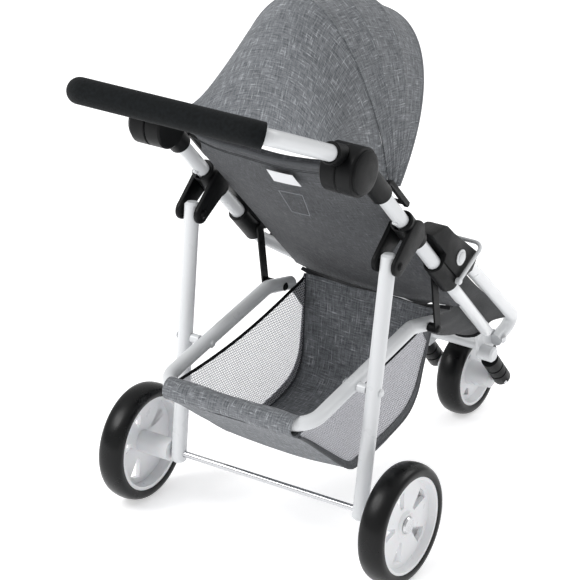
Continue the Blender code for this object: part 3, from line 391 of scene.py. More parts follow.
def melange(name, dark, middle, light, slub):
    """Plain-weave polyester in mixed grey yarns, with long pale slubs along both threads."""
    made = plain(name, middle, 0.85, **{"Specular IOR Level": 0.25, "Sheen Weight": 0.12,
                                        "Sheen Roughness": 0.6})
    flat = millimetres(made, "UV")
    yarns = [grain(made, millimetres(made, "UV", stretch), 0.62, 2.5, 0.6)
             for stretch in ((1.0, 0.11, 1), (0.11, 1.0, 1))]
    fine = grain(made, flat, 0.9, 2.0, 0.6)
    cloud = grain(made, flat, 0.035, 2.0)
    both = calc(made, "ADD", calc(made, "MULTIPLY", yarns[0], 0.4),
                calc(made, "MULTIPLY", yarns[1], 0.4))
    level = calc(made, "ADD", both, calc(made, "MULTIPLY", fine, 0.2))
    tone = blended(made, remap(made, level, 0.38, 0.62), shade(dark), shade(light))
    slubs = calc(made, "MAXIMUM", remap(made, yarns[0], 0.63, 0.72),
                 remap(made, yarns[1], 0.63, 0.72))
    tone = blended(made, calc(made, "MULTIPLY", slubs, 0.75), tone, shade(slub))
    tone = blended(made, remap(made, cloud, 0.35, 0.65, 0.0, 0.18), tone, shade(dark))
    feed(made, "Base Color", tone)
    waves = [add(made, "TexWave", {"Vector": flat, "Scale": 0.36, "Distortion": 0.6,
                                   "Detail": 1.0}, bands_direction=axis).outputs[1]
             for axis in ("X", "Y")]
    weave = calc(made, "MULTIPLY", waves[0], waves[1])
    bumped(made, calc(made, "ADD", weave, calc(made, "MULTIPLY", level, 1.5)), 0.35, 0.0006)
    return made


def net():
    """Pale polyester mesh with round holes in staggered rows, 3.4 mm apart."""
    made = plain("pale_net", "e4e4e9", 0.7)
    tree = made.node_tree
    flat = millimetres(made, "UV")
    parts = add(made, "SeparateXYZ", {0: flat})
    pitch, row = 3.4, 2.94
    rings = []
    for shift in (0.0, 0.5):
        across_cell = calc(made, "SUBTRACT", calc(made, "FRACT", calc(made, "ADD", calc(
            made, "DIVIDE", parts.outputs[0], pitch), shift)), 0.5)
        along_cell = calc(made, "SUBTRACT", calc(made, "FRACT", calc(made, "ADD", calc(
            made, "DIVIDE", parts.outputs[1], 2 * row), shift)), 0.5)
        x = calc(made, "MULTIPLY", across_cell, pitch)
        y = calc(made, "MULTIPLY", along_cell, 2 * row)
        rings.append(calc(made, "SQRT", calc(made, "ADD", calc(made, "MULTIPLY", x, x),
                                             calc(made, "MULTIPLY", y, y))))
    near = calc(made, "MINIMUM", rings[0], rings[1])
    thread = remap(made, near, 1.28, 1.5)
    hole = add(made, "BsdfTransparent").outputs[0]
    mixer = add(made, "MixShader", {0: thread, 1: hole, 2: shader_of(made).outputs[0]})
    output = next(n for n in tree.nodes if n.type == "OUTPUT_MATERIAL")
    tree.links.new(mixer.outputs[0], output.inputs[0])
    bumped(made, thread, 0.4, 0.0004)
    return made


def webbing():
    """Black woven polyester binding tape."""
    made = plain("black_binding_tape", "151618", 0.75, **{"Specular IOR Level": 0.15})
    flat = millimetres(made)
    ribs = add(made, "TexWave", {"Vector": flat, "Scale": 0.5, "Distortion": 1.0,
                                 "Detail": 1.0}).outputs[1]
    bumped(made, ribs, 0.3, 0.0003)
    return made


def label_cloth():
    """Blank white satin label."""
    made = plain("white_satin_label", "e6e7e9", 0.55)
    flat = millimetres(made, "UV")
    bumped(made, grain(made, flat, 1.6, 1.0), 0.15, 0.0002)
    return made


# ---- shapes --------------------------------------------------------------------------------
PIPE_SIDES = 7              # a quarter of a tube's section, less one


def smooth(mesh, angle=35):
    mesh.shade_smooth()
    mesh.set_sharp_from_angle(angle=radians(angle))


def linked(name, data):
    """An object of this mesh, curve, lamp or camera, in the scene."""
    made = bpy.data.objects.new(name, data)
    bpy.context.scene.collection.objects.link(made)
    return made


def mesh_of(name, work, look):
    """The bmesh as a mesh of one material. The bmesh is used up."""
    mesh = bpy.data.meshes.new(name)
    work.to_mesh(mesh)
    work.free()
    mesh.materials.append(look)
    return mesh


def keep(name, work, look):
    """A bmesh as a named object at the origin, with its faces outwards."""
    bmesh.ops.remove_doubles(work, verts=work.verts, dist=1e-6)
    bmesh.ops.recalc_face_normals(work, faces=work.faces)
    mesh = mesh_of(name, work, look)
    smooth(mesh)
    return linked(name + "_fine", mesh)


def applied(made):
    """The object with its modifiers made into plain mesh."""
    bpy.context.view_layer.update()
    graph = bpy.context.evaluated_depsgraph_get()
    mesh = bpy.data.meshes.new_from_object(made.evaluated_get(graph))
    made.modifiers.clear()
    made.data = mesh
    smooth(mesh)
    return made


def combine(target, other, operation):
    """A Boolean of two objects, made at once. The second one is used up."""
    change = target.modifiers.new(operation, "BOOLEAN")
    change.operation = operation
    change.object = other
    change.solver = "EXACT"
    applied(target)
    bpy.data.objects.remove(other, do_unlink=True)


def pipe(name, path, radius, look, sides=PIPE_SIDES):
    """A rod along a path of points, with closed ends."""
    curve = bpy.data.curves.new(name, "CURVE")
    curve.dimensions = "3D"
    curve.bevel_depth = radius
    curve.bevel_resolution = sides
    curve.use_fill_caps = True
    spline = curve.splines.new("POLY")
    spline.points.add(len(path) - 1)
    for point, at in zip(spline.points, path):
        point.co = (*at, 1)
        point.radius = 1
    temporary = linked(name + "_path", curve)
    bpy.context.view_layer.update()
    graph = bpy.context.evaluated_depsgraph_get()
    work = bmesh.new()
    work.from_mesh(bpy.data.meshes.new_from_object(temporary.evaluated_get(graph)))
    bpy.data.objects.remove(temporary, do_unlink=True)
    return keep(name, work, look)


def aimed(start, end):
    """Matrix that takes +Z at the origin to the line from start to end, placed at start."""
    turn = (Vector(end) - Vector(start)).to_track_quat("Z", "Y").to_matrix().to_4x4()
    return Matrix.Translation(Vector(start)) @ turn


def turned(name, profile, start, end, look, steps=ROD_STEPS):
    """Turns (radius, distance from start) points about the line from start to end."""
    work = bmesh.new()
    points = [work.verts.new((radius, 0, height)) for radius, height in profile]
    closed = points if profile[0][0] > 0 else points[1:-1]
    rim = [work.edges.new((a, b)) for a, b in zip(points, points[1:])]
    if len(closed) == len(points):
        rim.append(work.edges.new((points[-1], points[0])))
    bmesh.ops.spin(work, geom=points + rim, axis=(0, 0, 1), cent=(0, 0, 0), dvec=(0, 0, 0),
                   angle=2 * pi, steps=steps, use_merge=True)
    bmesh.ops.transform(work, matrix=aimed(start, end), verts=work.verts)
    return keep(name, work, look)


def rod_profile(radius, length, chamfer=0.0008):
    return [(0, 0), (radius - chamfer, 0), (radius, chamfer), (radius, length - chamfer),
            (radius - chamfer, length), (0, length)]


def rod(name, start, end, radius, look, steps=ROD_STEPS, chamfer=0.0008):
    """A round bar from start to end, with chamfered ends."""
    length = (Vector(end) - Vector(start)).length
    return turned(name, rod_profile(radius, length, chamfer), start, end, look, steps)


def ring(name, start, end, inner, outer, look, steps=ROD_STEPS):
    length = (Vector(end) - Vector(start)).length
    profile = [(inner, 0), (outer, 0), (outer, length), (inner, length)]
    return turned(name, profile, start, end, look, steps)


def rounded(points, radius, steps=10):
    """The points joined by straight runs whose corners are arcs of this radius."""
    points = [Vector(p) for p in points]
    path = [points[0]]
    for before, corner, after in zip(points, points[1:], points[2:]):
        back, on = (before - corner).normalized(), (after - corner).normalized()
        half = back.angle(on) / 2
        reach = radius / tan(half)
        centre = corner + (back + on).normalized() * radius / sin(half)
        first, last = corner + back * reach, corner + on * reach
        for step in range(steps + 1):
            spoke = (first - centre).slerp(last - centre, step / steps)
            path.append(centre + spoke.normalized() * radius)
    return path + [points[-1]]


def grown(outline, thickness):
    """A bmesh between an outline of points and the same outline that far sideways."""
    work = bmesh.new()
    face = work.faces.new([work.verts.new(point) for point in outline])
    far = bmesh.ops.extrude_face_region(work, geom=[face])
    moved = [g for g in far["geom"] if isinstance(g, bmesh.types.BMVert)]
    bmesh.ops.translate(work, verts=moved, vec=(thickness, 0, 0))
    return work


def plate(name, outline, x_from, x_to, look, bevel=0.0):
    """An outline of (ahead, up) points, as thick as from x_from to x_to."""
    work = grown([place(p, x_from) for p in outline], x_to - x_from)
    if bevel:
        rims = [e for e in work.edges if abs(e.verts[0].co.x - e.verts[1].co.x) < 1e-7]
        bmesh.ops.bevel(work, geom=rims, offset=bevel, segments=2, profile=0.5, affect="EDGES",
                        material=-1)
    return keep(name, work, look)


def round_ended(start, end, radius, steps=14):
    """Outline of a bar with half-round ends, round two (ahead, up) points."""
    lean = atan2(end[1] - start[1], end[0] - start[0])
    outline = []
    for middle, first in ((end, lean - pi / 2), (start, lean + pi / 2)):
        for step in range(steps + 1):
            turn = first + pi * step / steps
            outline.append((middle[0] + radius * cos(turn), middle[1] + radius * sin(turn)))
    return outline


def tapered(start, end, start_radius, end_radius, steps=14):
    """Outline round two circles of different size, with straight sides that touch both."""
    run = (end[0] - start[0], end[1] - start[1])
    length = sqrt(run[0] ** 2 + run[1] ** 2)
    lean = atan2(run[1], run[0])
    side = pi / 2 + (start_radius - end_radius) / length
    outline = []
    for middle, radius, first, last in ((end, end_radius, lean - side, lean + side),
                                        (start, start_radius, lean + side, lean + 2 * pi - side)):
        for step in range(steps + 1):
            turn = first + (last - first) * step / steps
            outline.append((middle[0] + radius * cos(turn), middle[1] + radius * sin(turn)))
    return outline


def cut_round(target, start, end, radius, steps=ROD_STEPS):
    name = f"{target.name}_hole_{len(target.modifiers)}"
    combine(target, rod(name, start, end, radius, target.data.materials[0], steps, chamfer=0.0),
            "DIFFERENCE")


def across(side_point, x_from, x_to):
    """The two ends of a line straight across the stroller."""
    return place(side_point, x_from), place(side_point, x_to)


def pin(name, side_point, inner, outer, side, look, head=HEAD_RADIUS, shoulder=None):
    """A rivet across the stroller: a shank from inner to outer, with a domed head on each end.
    A shoulder is the two places of a thick part, which keeps what it holds apart."""
    length = outer - inner
    thin, thick, up = PIN_RADIUS, SPACER_RADIUS, HEAD_HEIGHT
    spacer = []
    if shoulder:
        first, last = (at - inner for at in shoulder)
        spacer = [(thin, first), (thick, first), (thick, last), (thin, last)]
    profile = [(0, -up), (head * 0.6, -up * 0.85), (head, 0), (thin, 0), *spacer, (thin, length),
               (head, length), (head * 0.6, length + up * 0.85), (0, length + up)]
    return turned(name, profile, *across(side_point, side * inner, side * outer), look, PIN_STEPS)


def shoulder_rivet(name, side_point, shoulder_to, outer, side, look):
    """A rivet through the basket tube, whose thick part keeps the next piece away from it."""
    inner = BASKET_TUBE_SPREAD - BASKET_TUBE_RADIUS - RUN
    shoulder_from = BASKET_TUBE_SPREAD + BASKET_TUBE_RADIUS + GAP
    pin(name, side_point, inner, outer, side, look, shoulder=(shoulder_from, shoulder_to))


# ---- wheels --------------------------------------------------------------------------------
TYRE_FOOT = 0.003           # where the tyre's round part starts, over the rim
TYRE_EDGE = 0.0012          # the tyre's bead, in from each face
TYRE_SQUARENESS = 0.62      # power of the section's curve; under 1 is squarer than an ellipse
RIM_EDGE = 0.002            # the rim, in from each face of the tyre
WEB_FACE = 0.006            # the web's outer face, out from the wheel's middle
WINDOW_OFF_HUB, WINDOW_OFF_LIP = 0.009, 0.008
WINDOW_NARROW, WINDOW_WIDE = 0.12, 0.21         # half angles at the hub and at the lip, radians


def wheel(name, middle, radius, hub_in, hub_out, out, axle_radius, looks):
    """A tyre and a rim with windows. `out` is the sideways direction of the wheel's outer face."""
    rubber, plastic = looks
    half = TYRE_WIDTH / 2
    rim = radius - TYRE_DEPTH
    start, end = middle - Vector((out * half, 0, 0)), middle + Vector((out * half, 0, 0))
    foot = rim + TYRE_FOOT
    steps = [pi * step / 16 for step in range(17)]
    crown = [(rim + GAP, TYRE_EDGE)]
    crown += [(foot + (radius - foot) * sin(turn) ** TYRE_SQUARENESS, half - half * cos(turn))
              for turn in steps]
    crown += [(rim + GAP, TYRE_WIDTH - TYRE_EDGE)]
    turned(f"{name}_tyre", crown, start, end, rubber, TYRE_STEPS)
    web = half + WEB_FACE
    lip = rim - RIM_WALL
    profile = [(axle_radius + GAP, half - hub_in), (HUB_RADIUS, half - hub_in),
               (HUB_RADIUS, web - WEB_THICKNESS), (lip, web - WEB_THICKNESS), (lip, RIM_EDGE),
               (rim, RIM_EDGE), (rim, TYRE_WIDTH - RIM_EDGE), (lip + 0.001, TYRE_WIDTH - RIM_EDGE),
               (lip - 0.002, web), (HUB_RADIUS + 0.003, web), (HUB_RADIUS, half + hub_out),
               (axle_radius + GAP, half + hub_out)]
    body = turned(f"{name}_rim", profile, start, end, plastic, RIM_STEPS)
    inner, outer = HUB_RADIUS + WINDOW_OFF_HUB, lip - WINDOW_OFF_LIP
    corners = [(inner, -WINDOW_NARROW), (inner, WINDOW_NARROW), (outer, WINDOW_WIDE),
               (outer + 0.001, 0.0), (outer, -WINDOW_WIDE)]
    for index in range(WHEEL_WINDOWS):
        turn = index * 2 * pi / WHEEL_WINDOWS
        work = grown([(0, r * cos(a + turn), r * sin(a + turn)) for r, a in corners],
                     out * TYRE_WIDTH)
        bmesh.ops.translate(work, verts=work.verts, vec=middle)
        combine(body, keep(f"{name}_window_{index}", work, plastic), "DIFFERENCE")


def rear_wheels(looks):
    hub_in = WHEEL_X - LEG_FOOT_SPREAD - LEG_RADIUS - 0.001
    for side, word in SIDES:
        middle = place(REAR_AXLE, side * WHEEL_X)
        wheel(f"rear_{word}", middle, REAR_WHEEL_RADIUS, hub_in, 0.009, side, REAR_AXLE_RADIUS,
              (looks["rubber"], looks["wheel"]))
    reach = WHEEL_X + 0.009 + GAP
    radius = REAR_AXLE_RADIUS
    profile = [(0, -0.0042), (0.0095, -0.0032), (0.0110, -0.001), (0.0102, 0), (radius, 0),
               (radius, 2 * reach), (0.0102, 2 * reach), (0.0110, 2 * reach + 0.001),
               (0.0095, 2 * reach + 0.0032), (0, 2 * reach + 0.0042)]
    turned("rear_axle", profile, *across(REAR_AXLE, -reach, reach), looks["steel"])


def front_wheel(looks):
    hub = FOOT_SPREAD - FOOT_RADIUS - RUN
    wheel("front", place(FRONT_AXLE), FRONT_WHEEL_RADIUS, hub, hub, RIGHT, FRONT_AXLE_RADIUS,
          (looks["rubber"], looks["wheel"]))
    reach = FOOT_SPREAD + FOOT_RADIUS - 0.002
    rod("front_axle", *across(FRONT_AXLE, -reach, reach), FRONT_AXLE_RADIUS, looks["steel"],
        chamfer=0.0003)


# ---- frame ---------------------------------------------------------------------------------
def main_tubes(looks):
    for side, word in SIDES:
        x = side * MAIN_X
        tube = rod(f"main_tube_{word}", place(on_main(TUBE_START + GAP), x),
                   place(on_main(TUBES_MEET - GAP), x), TUBE_RADIUS, looks["paint"])
        pocket = SNAP_SUNK + SNAP_STROKE + 2 * GAP
        cut_round(tube, place(on_main(SNAP_AT, pocket - TUBE_RADIUS), x),
                  place(on_main(SNAP_AT, -TUBE_RADIUS - 0.005), x), SNAP_RADIUS + GAP, PIN_STEPS)


def lower_line(side):
    """Start of the lower tube's slanting run, and its end."""
    return (place(on_main(JOINT_TO + 0.016), side * MAIN_X),
            place(LOWER_END, side * LOWER_END_SPREAD))


def lower_tubes(looks):
    """The front tubes that carry the seat, from the side joints to the front gussets."""
    for side, word in SIDES:
        start = place(on_main(TUBES_MEET + GAP), side * MAIN_X)
        path = rounded([start, *lower_line(side)], 0.03, 6)
        pipe(f"lower_tube_{word}", path, LOWER_RADIUS, looks["paint"])


def rail_start(side):
    return place(on_main(*RAIL_START), side * (MAIN_X + 0.0015))


def rails(looks):
    """The upper front tubes, bent back under at their lower ends."""
    for side, word in SIDES:
        corner = place(RAIL_CORNER, side * RAIL_CORNER_SPREAD)
        foot = place(RAIL_FOOT, side * RAIL_CORNER_SPREAD)
        tail = foot + (foot - corner).normalized() * RAIL_TAIL
        path = rounded([rail_start(side), corner, tail], RAIL_BEND, 12)
        body = pipe(f"seat_rail_{word}", path, RAIL_RADIUS, looks["paint"])
        cut_round(body, *across(RAIL_FOOT, side * 0.03, side * 0.06), PIN_RADIUS + GAP, PIN_STEPS)


def side_joints(looks):
    for side, word in SIDES:
        x = side * MAIN_X
        body = rod(f"side_joint_{word}", place(on_main(JOINT_FROM), x),
                   place(on_main(JOINT_TO), x), JOINT_RADIUS, looks["plastic"])
        half = HOUSING_WIDTH / 2
        block = plate(f"side_joint_block_{word}", [on_main(*p) for p in HOUSING_OUTLINE],
                      x - half, x + half, looks["plastic"], 0.0022)
        combine(body, block, "UNION")
        wide, narrow = TUBE_RADIUS + GAP, LOWER_RADIUS + GAP
        step, through = TUBES_MEET - JOINT_FROM + 0.08, JOINT_TO - JOINT_FROM + 0.10
        bore = turned(f"side_joint_bore_{word}",
                      [(0, 0), (wide, 0), (wide, step), (narrow, step), (narrow, through),
                       (0, through)], place(on_main(JOINT_FROM - 0.08), x),
                      place(on_main(JOINT_TO), x), looks["plastic"])
        combine(body, bore, "DIFFERENCE")
        start = rail_start(side)
        along = (place(RAIL_CORNER, side * RAIL_CORNER_SPREAD) - start).normalized()
        cut_round(body, start - along * 0.0005, start + along * 0.05, RAIL_RADIUS + GAP)
        cut_round(body, *across(BAR_PIVOT, x, x + side * 0.02), BAR_PIN_RADIUS + GAP, PIN_STEPS)
        face = MAIN_X + half + GAP
        r = BUTTON_RADIUS
        profile = [(0, 0), (r + 0.0015, 0), (r + 0.0015, 0.001), (r, 0.0016), (r - 0.0012, 0.0016),
                   (r - 0.0014, 0.0026), (r - 0.0030, 0.0036), (0, 0.0038)]
        turned(f"joint_button_{word}", profile,
               *across(on_main(*BUTTON_PLACE), side * face, side * (face + 0.02)),
               looks["paint"])


def hinge_bases(looks):
    """The fixed half of each handle hinge: a disc with a journal, and a sleeve on the tube."""
    for side, word in SIDES:
        x = side * MAIN_X
        outer = HINGE_FACE + HINGE_BASE_WIDTH
        face = HINGE_FACE + GAP
        r = HINGE_RADIUS
        stub = HINGE_HUB_WIDTH - 0.004
        width = outer - face
        profile = [(0, -stub), (HINGE_PIN_RADIUS, -stub), (HINGE_PIN_RADIUS, 0), (r - 0.001, 0),
                   (r, 0.001), (r, width - 0.002), (r - 0.002, width), (r - 0.003, width),
                   (r - 0.0038, width + HINGE_COVER * 0.6), (r - 0.009, width + HINGE_COVER),
                   (0, width + HINGE_COVER)]
        body = turned(f"hinge_base_{word}", profile,
                      *across(HINGE, side * face, side * (face + 0.02)), looks["plastic"], DISC_STEPS)
        sleeve = rod(f"hinge_sleeve_{word}", place(on_main(SLEEVE_START), x),
                     place(on_main(SLEEVE_END), x), SLEEVE_RADIUS, looks["plastic"],
                     chamfer=0.0015)
        clear = ring(f"hinge_clear_{word}",
                     *across(HINGE, side * (HINGE_FACE - 0.04), side * face),
                     HINGE_PIN_RADIUS, HINGE_RADIUS + 0.0025, looks["plastic"], DISC_STEPS)
        combine(sleeve, clear, "DIFFERENCE")
        combine(body, sleeve, "UNION")
        cut_round(body, place(on_main(TUBE_START), x), place(on_main(SLEEVE_END + 0.02), x),
                  TUBE_RADIUS + GAP)


def hood_mounts(looks):
    """An arm along the top of each main tube, clear of the slider, with the hood's pivot."""
    along, over = HOOD_PLACE
    for side, word in SIDES:
        half = HOOD_ARM_HALF
        start = SLEEVE_END + GAP
        clamp_to = start + 0.004
        outline = [on_main(start, TUBE_RADIUS + GAP), on_main(clamp_to, TUBE_RADIUS + GAP),
                   on_main(clamp_to + 0.002, over - half), on_main(along + half, over - half),
                   on_main(along + half + 0.002, over), on_main(along + half, over + half),
                   on_main(start + 0.006, over + half), on_main(start, over - 0.001)]
        inner = side * (MAIN_X - HOOD_ARM_THICKNESS / 2)
        outer = side * (MAIN_X + HOOD_ARM_THICKNESS / 2)
        body = plate(f"hood_mount_{word}", outline, inner, outer, looks["plastic"], 0.001)
        stud = rod(f"hood_stud_{word}", *across(HOOD_PIVOT, side * HOOD_STUD_END, outer),
                   HOOD_STUD_RADIUS, looks["plastic"], PIN_STEPS, chamfer=0.0005)
        combine(body, stud, "UNION")


def snap_buttons(looks):
    """Sprung buttons under the main tubes that hold the leg sliders down."""
    for side, word in SIDES:
        x = side * MAIN_X
        inner = place(on_main(SNAP_AT, SNAP_SUNK - TUBE_RADIUS), x)
        outer = place(on_main(SNAP_AT, -TUBE_RADIUS - SNAP_PROUD), x)
        long, r = SNAP_SUNK + SNAP_PROUD, SNAP_RADIUS
        turned(f"snap_button_{word}",
               [(0, 0), (r, 0), (r, long - 0.0012), (r - 0.0009, long - 0.0003), (0, long)],
               inner, outer, looks["paint"], PIN_STEPS)


# ---- rear legs and their sliders -----------------------------------------------------------
def leg_line(side):
    top = place(LEG_TOP, side * LEG_TOP_SPREAD)
    foot = place(REAR_AXLE, side * LEG_FOOT_SPREAD)
    return top, foot, (foot - top).normalized()


def leg_x(up):
    share = (up - REAR_AXLE[1]) / (LEG_TOP[1] - REAR_AXLE[1])
    return LEG_FOOT_SPREAD + share * (LEG_TOP_SPREAD - LEG_FOOT_SPREAD)


def legs(looks):
    for side, word in SIDES:
        top, foot, down = leg_line(side)
        body = rod(f"rear_leg_{word}", top - down * LEG_STUB, foot + down * LEG_STUB, LEG_RADIUS,
                   looks["paint"], chamfer=0.003)
        cut_round(body, *across(REAR_AXLE, side * 0.10, side * 0.16), REAR_AXLE_RADIUS + GAP)
        cut_round(body, *across(LEG_PIVOT, side * 0.10, side * 0.16), PIN_RADIUS + GAP, PIN_STEPS)
        cut_round(body, *across(LEG_TOP, side * 0.10, side * 0.18), PIN_RADIUS + GAP, PIN_STEPS)
        leg = leg_x(LEG_PIVOT[1])
        shoulder_rivet(f"leg_rivet_{word}", LEG_PIVOT, leg - LEG_RADIUS - GAP,
                       leg + LEG_RADIUS + 0.0006, side, looks["steel"])


def leg_sliders(looks):
    """A sleeve that slides on the main tube, with a yoke round the top of the leg."""
    cheek = LEG_RADIUS + 0.001
    for side, word in SIDES:
        x = side * MAIN_X
        half = SLIDER_LENGTH / 2
        body = rod(f"leg_slider_{word}", place(on_main(SLIDER_AT - half), x),
                   place(on_main(SLIDER_AT + half), x), SLIDER_RADIUS, looks["plastic"],
                   chamfer=0.0015)
        outline = tapered(on_main(SLIDER_AT - 0.002, -0.004), LEG_TOP, YOKE_SHOULDER,
                          YOKE_ROUND)
        for inner, outer, tag in ((cheek, cheek + YOKE_THICKNESS, "out"),
                                  (-cheek - YOKE_THICKNESS, -cheek, "in")):
            ends = [side * (LEG_TOP_SPREAD + inner), side * (LEG_TOP_SPREAD + outer)]
            yoke = plate(f"leg_slider_{tag}_{word}", outline, *ends, looks["plastic"], 0.0015)
            combine(body, yoke, "UNION")
        bore = rod(f"leg_slider_bore_{word}", place(on_main(SLIDER_AT - 0.05), x),
                   place(on_main(SLIDER_AT + 0.05), x), TUBE_RADIUS + RUN, looks["plastic"], ROD_STEPS,
                   chamfer=0.0)
        low = -TUBE_RADIUS - KEYWAY_DEPTH
        corners = [on_main(SLIDER_AT - 0.06, low), on_main(SLIDER_AT + 0.06, low),
                   on_main(SLIDER_AT + 0.06, 0.0), on_main(SLIDER_AT - 0.06, 0.0)]
        groove = plate(f"leg_slider_groove_{word}", corners, x - KEYWAY_HALF, x + KEYWAY_HALF,
                       looks["plastic"])
        combine(bore, groove, "UNION")
        combine(body, bore, "DIFFERENCE")
        cut_round(body, *across(LEG_TOP, side * 0.10, side * 0.18), PIN_RADIUS + GAP, PIN_STEPS)
        reach = cheek + YOKE_THICKNESS + 0.0006
        pin(f"slider_pin_{word}", LEG_TOP, LEG_TOP_SPREAD - reach, LEG_TOP_SPREAD + reach, side,
            looks["steel"])


# ---- basket tube ---------------------------------------------------------------------------
def basket_frame(looks):
    route = [place(BASKET_TIP, -BASKET_TUBE_SPREAD), place(BASKET_KNEE, -BASKET_TUBE_SPREAD),
             place(BASKET_REAR, -BASKET_TUBE_SPREAD), place(BASKET_REAR, BASKET_TUBE_SPREAD),
             place(BASKET_KNEE, BASKET_TUBE_SPREAD), place(BASKET_TIP, BASKET_TUBE_SPREAD)]
    body = pipe("basket_tube", rounded(route, BASKET_BEND), BASKET_TUBE_RADIUS, looks["paint"])
    for side, word in SIDES:
        for spot in (LEG_PIVOT, BASKET_PIVOT):
            cut_round(body, *across(spot, side * 0.08, side * 0.13), PIN_RADIUS + GAP, PIN_STEPS)
        inner = STRAP_FACE - STRAP_THICKNESS
        shoulder_rivet(f"strap_rivet_{word}", BASKET_PIVOT, inner - GAP, STRAP_FACE + GAP, side,
                       looks["steel"])
        body_strap = plate(f"basket_strap_{word}",
                           round_ended(on_main(STRAP_AT), BASKET_PIVOT, STRAP_WIDTH / 2),
                           side * inner, side * STRAP_FACE, looks["steel"])
        cut_round(body_strap, *across(BASKET_PIVOT, side * 0.10, side * 0.15),
                  PIN_RADIUS + GAP, PIN_STEPS)


# ---- front end -----------------------------------------------------------------------------
def front_end(looks):
    """A welded crown: crossbar, two gusset plates and their round bosses."""
    crown = rod("front_crown", *across(CROSSBAR, -GUSSET_FACE - 0.001, GUSSET_FACE + 0.001),
                CROSSBAR_RADIUS, looks["paint"])
    for side, word in SIDES:
        inner, outer = side * GUSSET_FACE, side * (GUSSET_FACE + GUSSET_THICKNESS)
        gusset = plate(f"front_gusset_{word}", GUSSET_OUTLINE, inner, outer, looks["paint"], 0.0012)
        combine(crown, gusset, "UNION")
        boss_start = side * (GUSSET_FACE + 0.001)
        combine(crown, rod(f"front_boss_{word}", *across(BOSS, boss_start, side * BOSS_OUT),
                           BOSS_RADIUS, looks["paint"], chamfer=0.0025), "UNION")
    for side, word in SIDES:
        foot_a, foot_b = place(FOOT_START, side * FOOT_SPREAD), place(FOOT_END, side * FOOT_SPREAD)
        cut_round(crown, foot_a, foot_b, FOOT_RADIUS + GAP)
        cut_round(crown, *across(RAIL_FOOT, side * 0.02, side * 0.07), PIN_RADIUS + GAP, PIN_STEPS)
        corner = place(RAIL_CORNER, side * RAIL_CORNER_SPREAD)
        foot = place(RAIL_FOOT, side * RAIL_CORNER_SPREAD)
        down = (foot - corner).normalized()
        cut_round(crown, corner, foot + down * (RAIL_TAIL + GAP), RAIL_RADIUS + GAP)
        pin(f"rail_bolt_{word}", RAIL_FOOT, GUSSET_FACE - 0.0008,
            RAIL_CORNER_SPREAD + RAIL_RADIUS + 0.0008, side, looks["steel"], head=0.0065)
        feet(side, word, foot_a, foot_b, looks)


def feet(side, word, start, end, looks):
    """Ringed sockets that hold the front axle."""
    length = (end - start).length + FOOT_RADIUS * 0.6
    r, groove = FOOT_RADIUS, FOOT_RADIUS - 0.0012
    profile = [(0, 0.0005), (r, 0.0005), (r, 0.0180), (groove, 0.0185), (groove, 0.0205),
               (r, 0.0210), (r, 0.0340), (groove, 0.0345), (groove, 0.0365), (r, 0.0370),
               (r, length - 0.006), (r * 0.75, length - 0.0015), (0, length)]
    body = turned(f"front_foot_{word}", profile, start, end, looks["plastic"])
    cut_round(body, *across(FRONT_AXLE, side * 0.03, side * 0.07), FRONT_AXLE_RADIUS + GAP)


# ---- handle --------------------------------------------------------------------------------
def handle_corner(side):
    return place(HANDLE_END, side * HANDLE_WIDTH / 2)


def handle(looks):
    inside = (HANDLE_LIP[0] + SOCKET_DEPTH * cos(HANDLE_SLOPE),
              HANDLE_LIP[1] - SOCKET_DEPTH * sin(HANDLE_SLOPE))
    half = HANDLE_WIDTH / 2
    route = [place(inside, -half), handle_corner(RIGHT), handle_corner(LEFT), place(inside, half)]
    path = rounded(route, HANDLE_BEND, BEND_STEPS)
    pipe("handle_bar", path, HANDLE_RADIUS, looks["paint"])
    handle_grip(path, looks)
    for side, word in SIDES:
        hub = across(HINGE, side * (HINGE_FACE - HINGE_HUB_WIDTH), side * HINGE_FACE)
        body = rod(f"handle_hub_{word}", *hub, HINGE_RADIUS, looks["plastic"], DISC_STEPS,
                   chamfer=0.002)
        low = between(HANDLE_LIP, HANDLE_END, -0.29)
        socket = rod(f"handle_socket_{word}", place(low, side * half),
                     place(HANDLE_LIP, side * half), SLEEVE_RADIUS, looks["plastic"],
                     chamfer=0.0015)
        combine(body, socket, "UNION")
        clear = rod(f"handle_clear_{word}",
                    *across(HINGE, side * (HINGE_FACE + 0.0001), side * (HINGE_FACE + 0.04)),
                    HINGE_RADIUS + 0.0015, looks["plastic"], 32, chamfer=0.0)
        combine(body, clear, "DIFFERENCE")
        mouth = place(between(HANDLE_LIP, HANDLE_END, 0.1), side * half)
        bottom = place(between(HANDLE_LIP, inside, 1.02), side * half)
        cut_round(body, bottom, mouth, HANDLE_RADIUS + GAP)
        cut_round(body, *across(HINGE, side * (HINGE_FACE - HINGE_HUB_WIDTH + 0.0035),
                                side * (HINGE_FACE + 0.01)), HINGE_PIN_RADIUS + GAP, DISC_STEPS)


def handle_grip(path, looks):
    """Foam on the crossbar, from half-way round one bend to half-way round the other."""
    first = 1 + BEND_STEPS // 2
    covered = path[first:len(path) - first]
    body = pipe("handle_grip", covered, GRIP_RADIUS, looks["foam"], 12)
    cutter = pipe("handle_grip_bore", path, HANDLE_RADIUS + GAP, looks["foam"])
    combine(body, cutter, "DIFFERENCE")


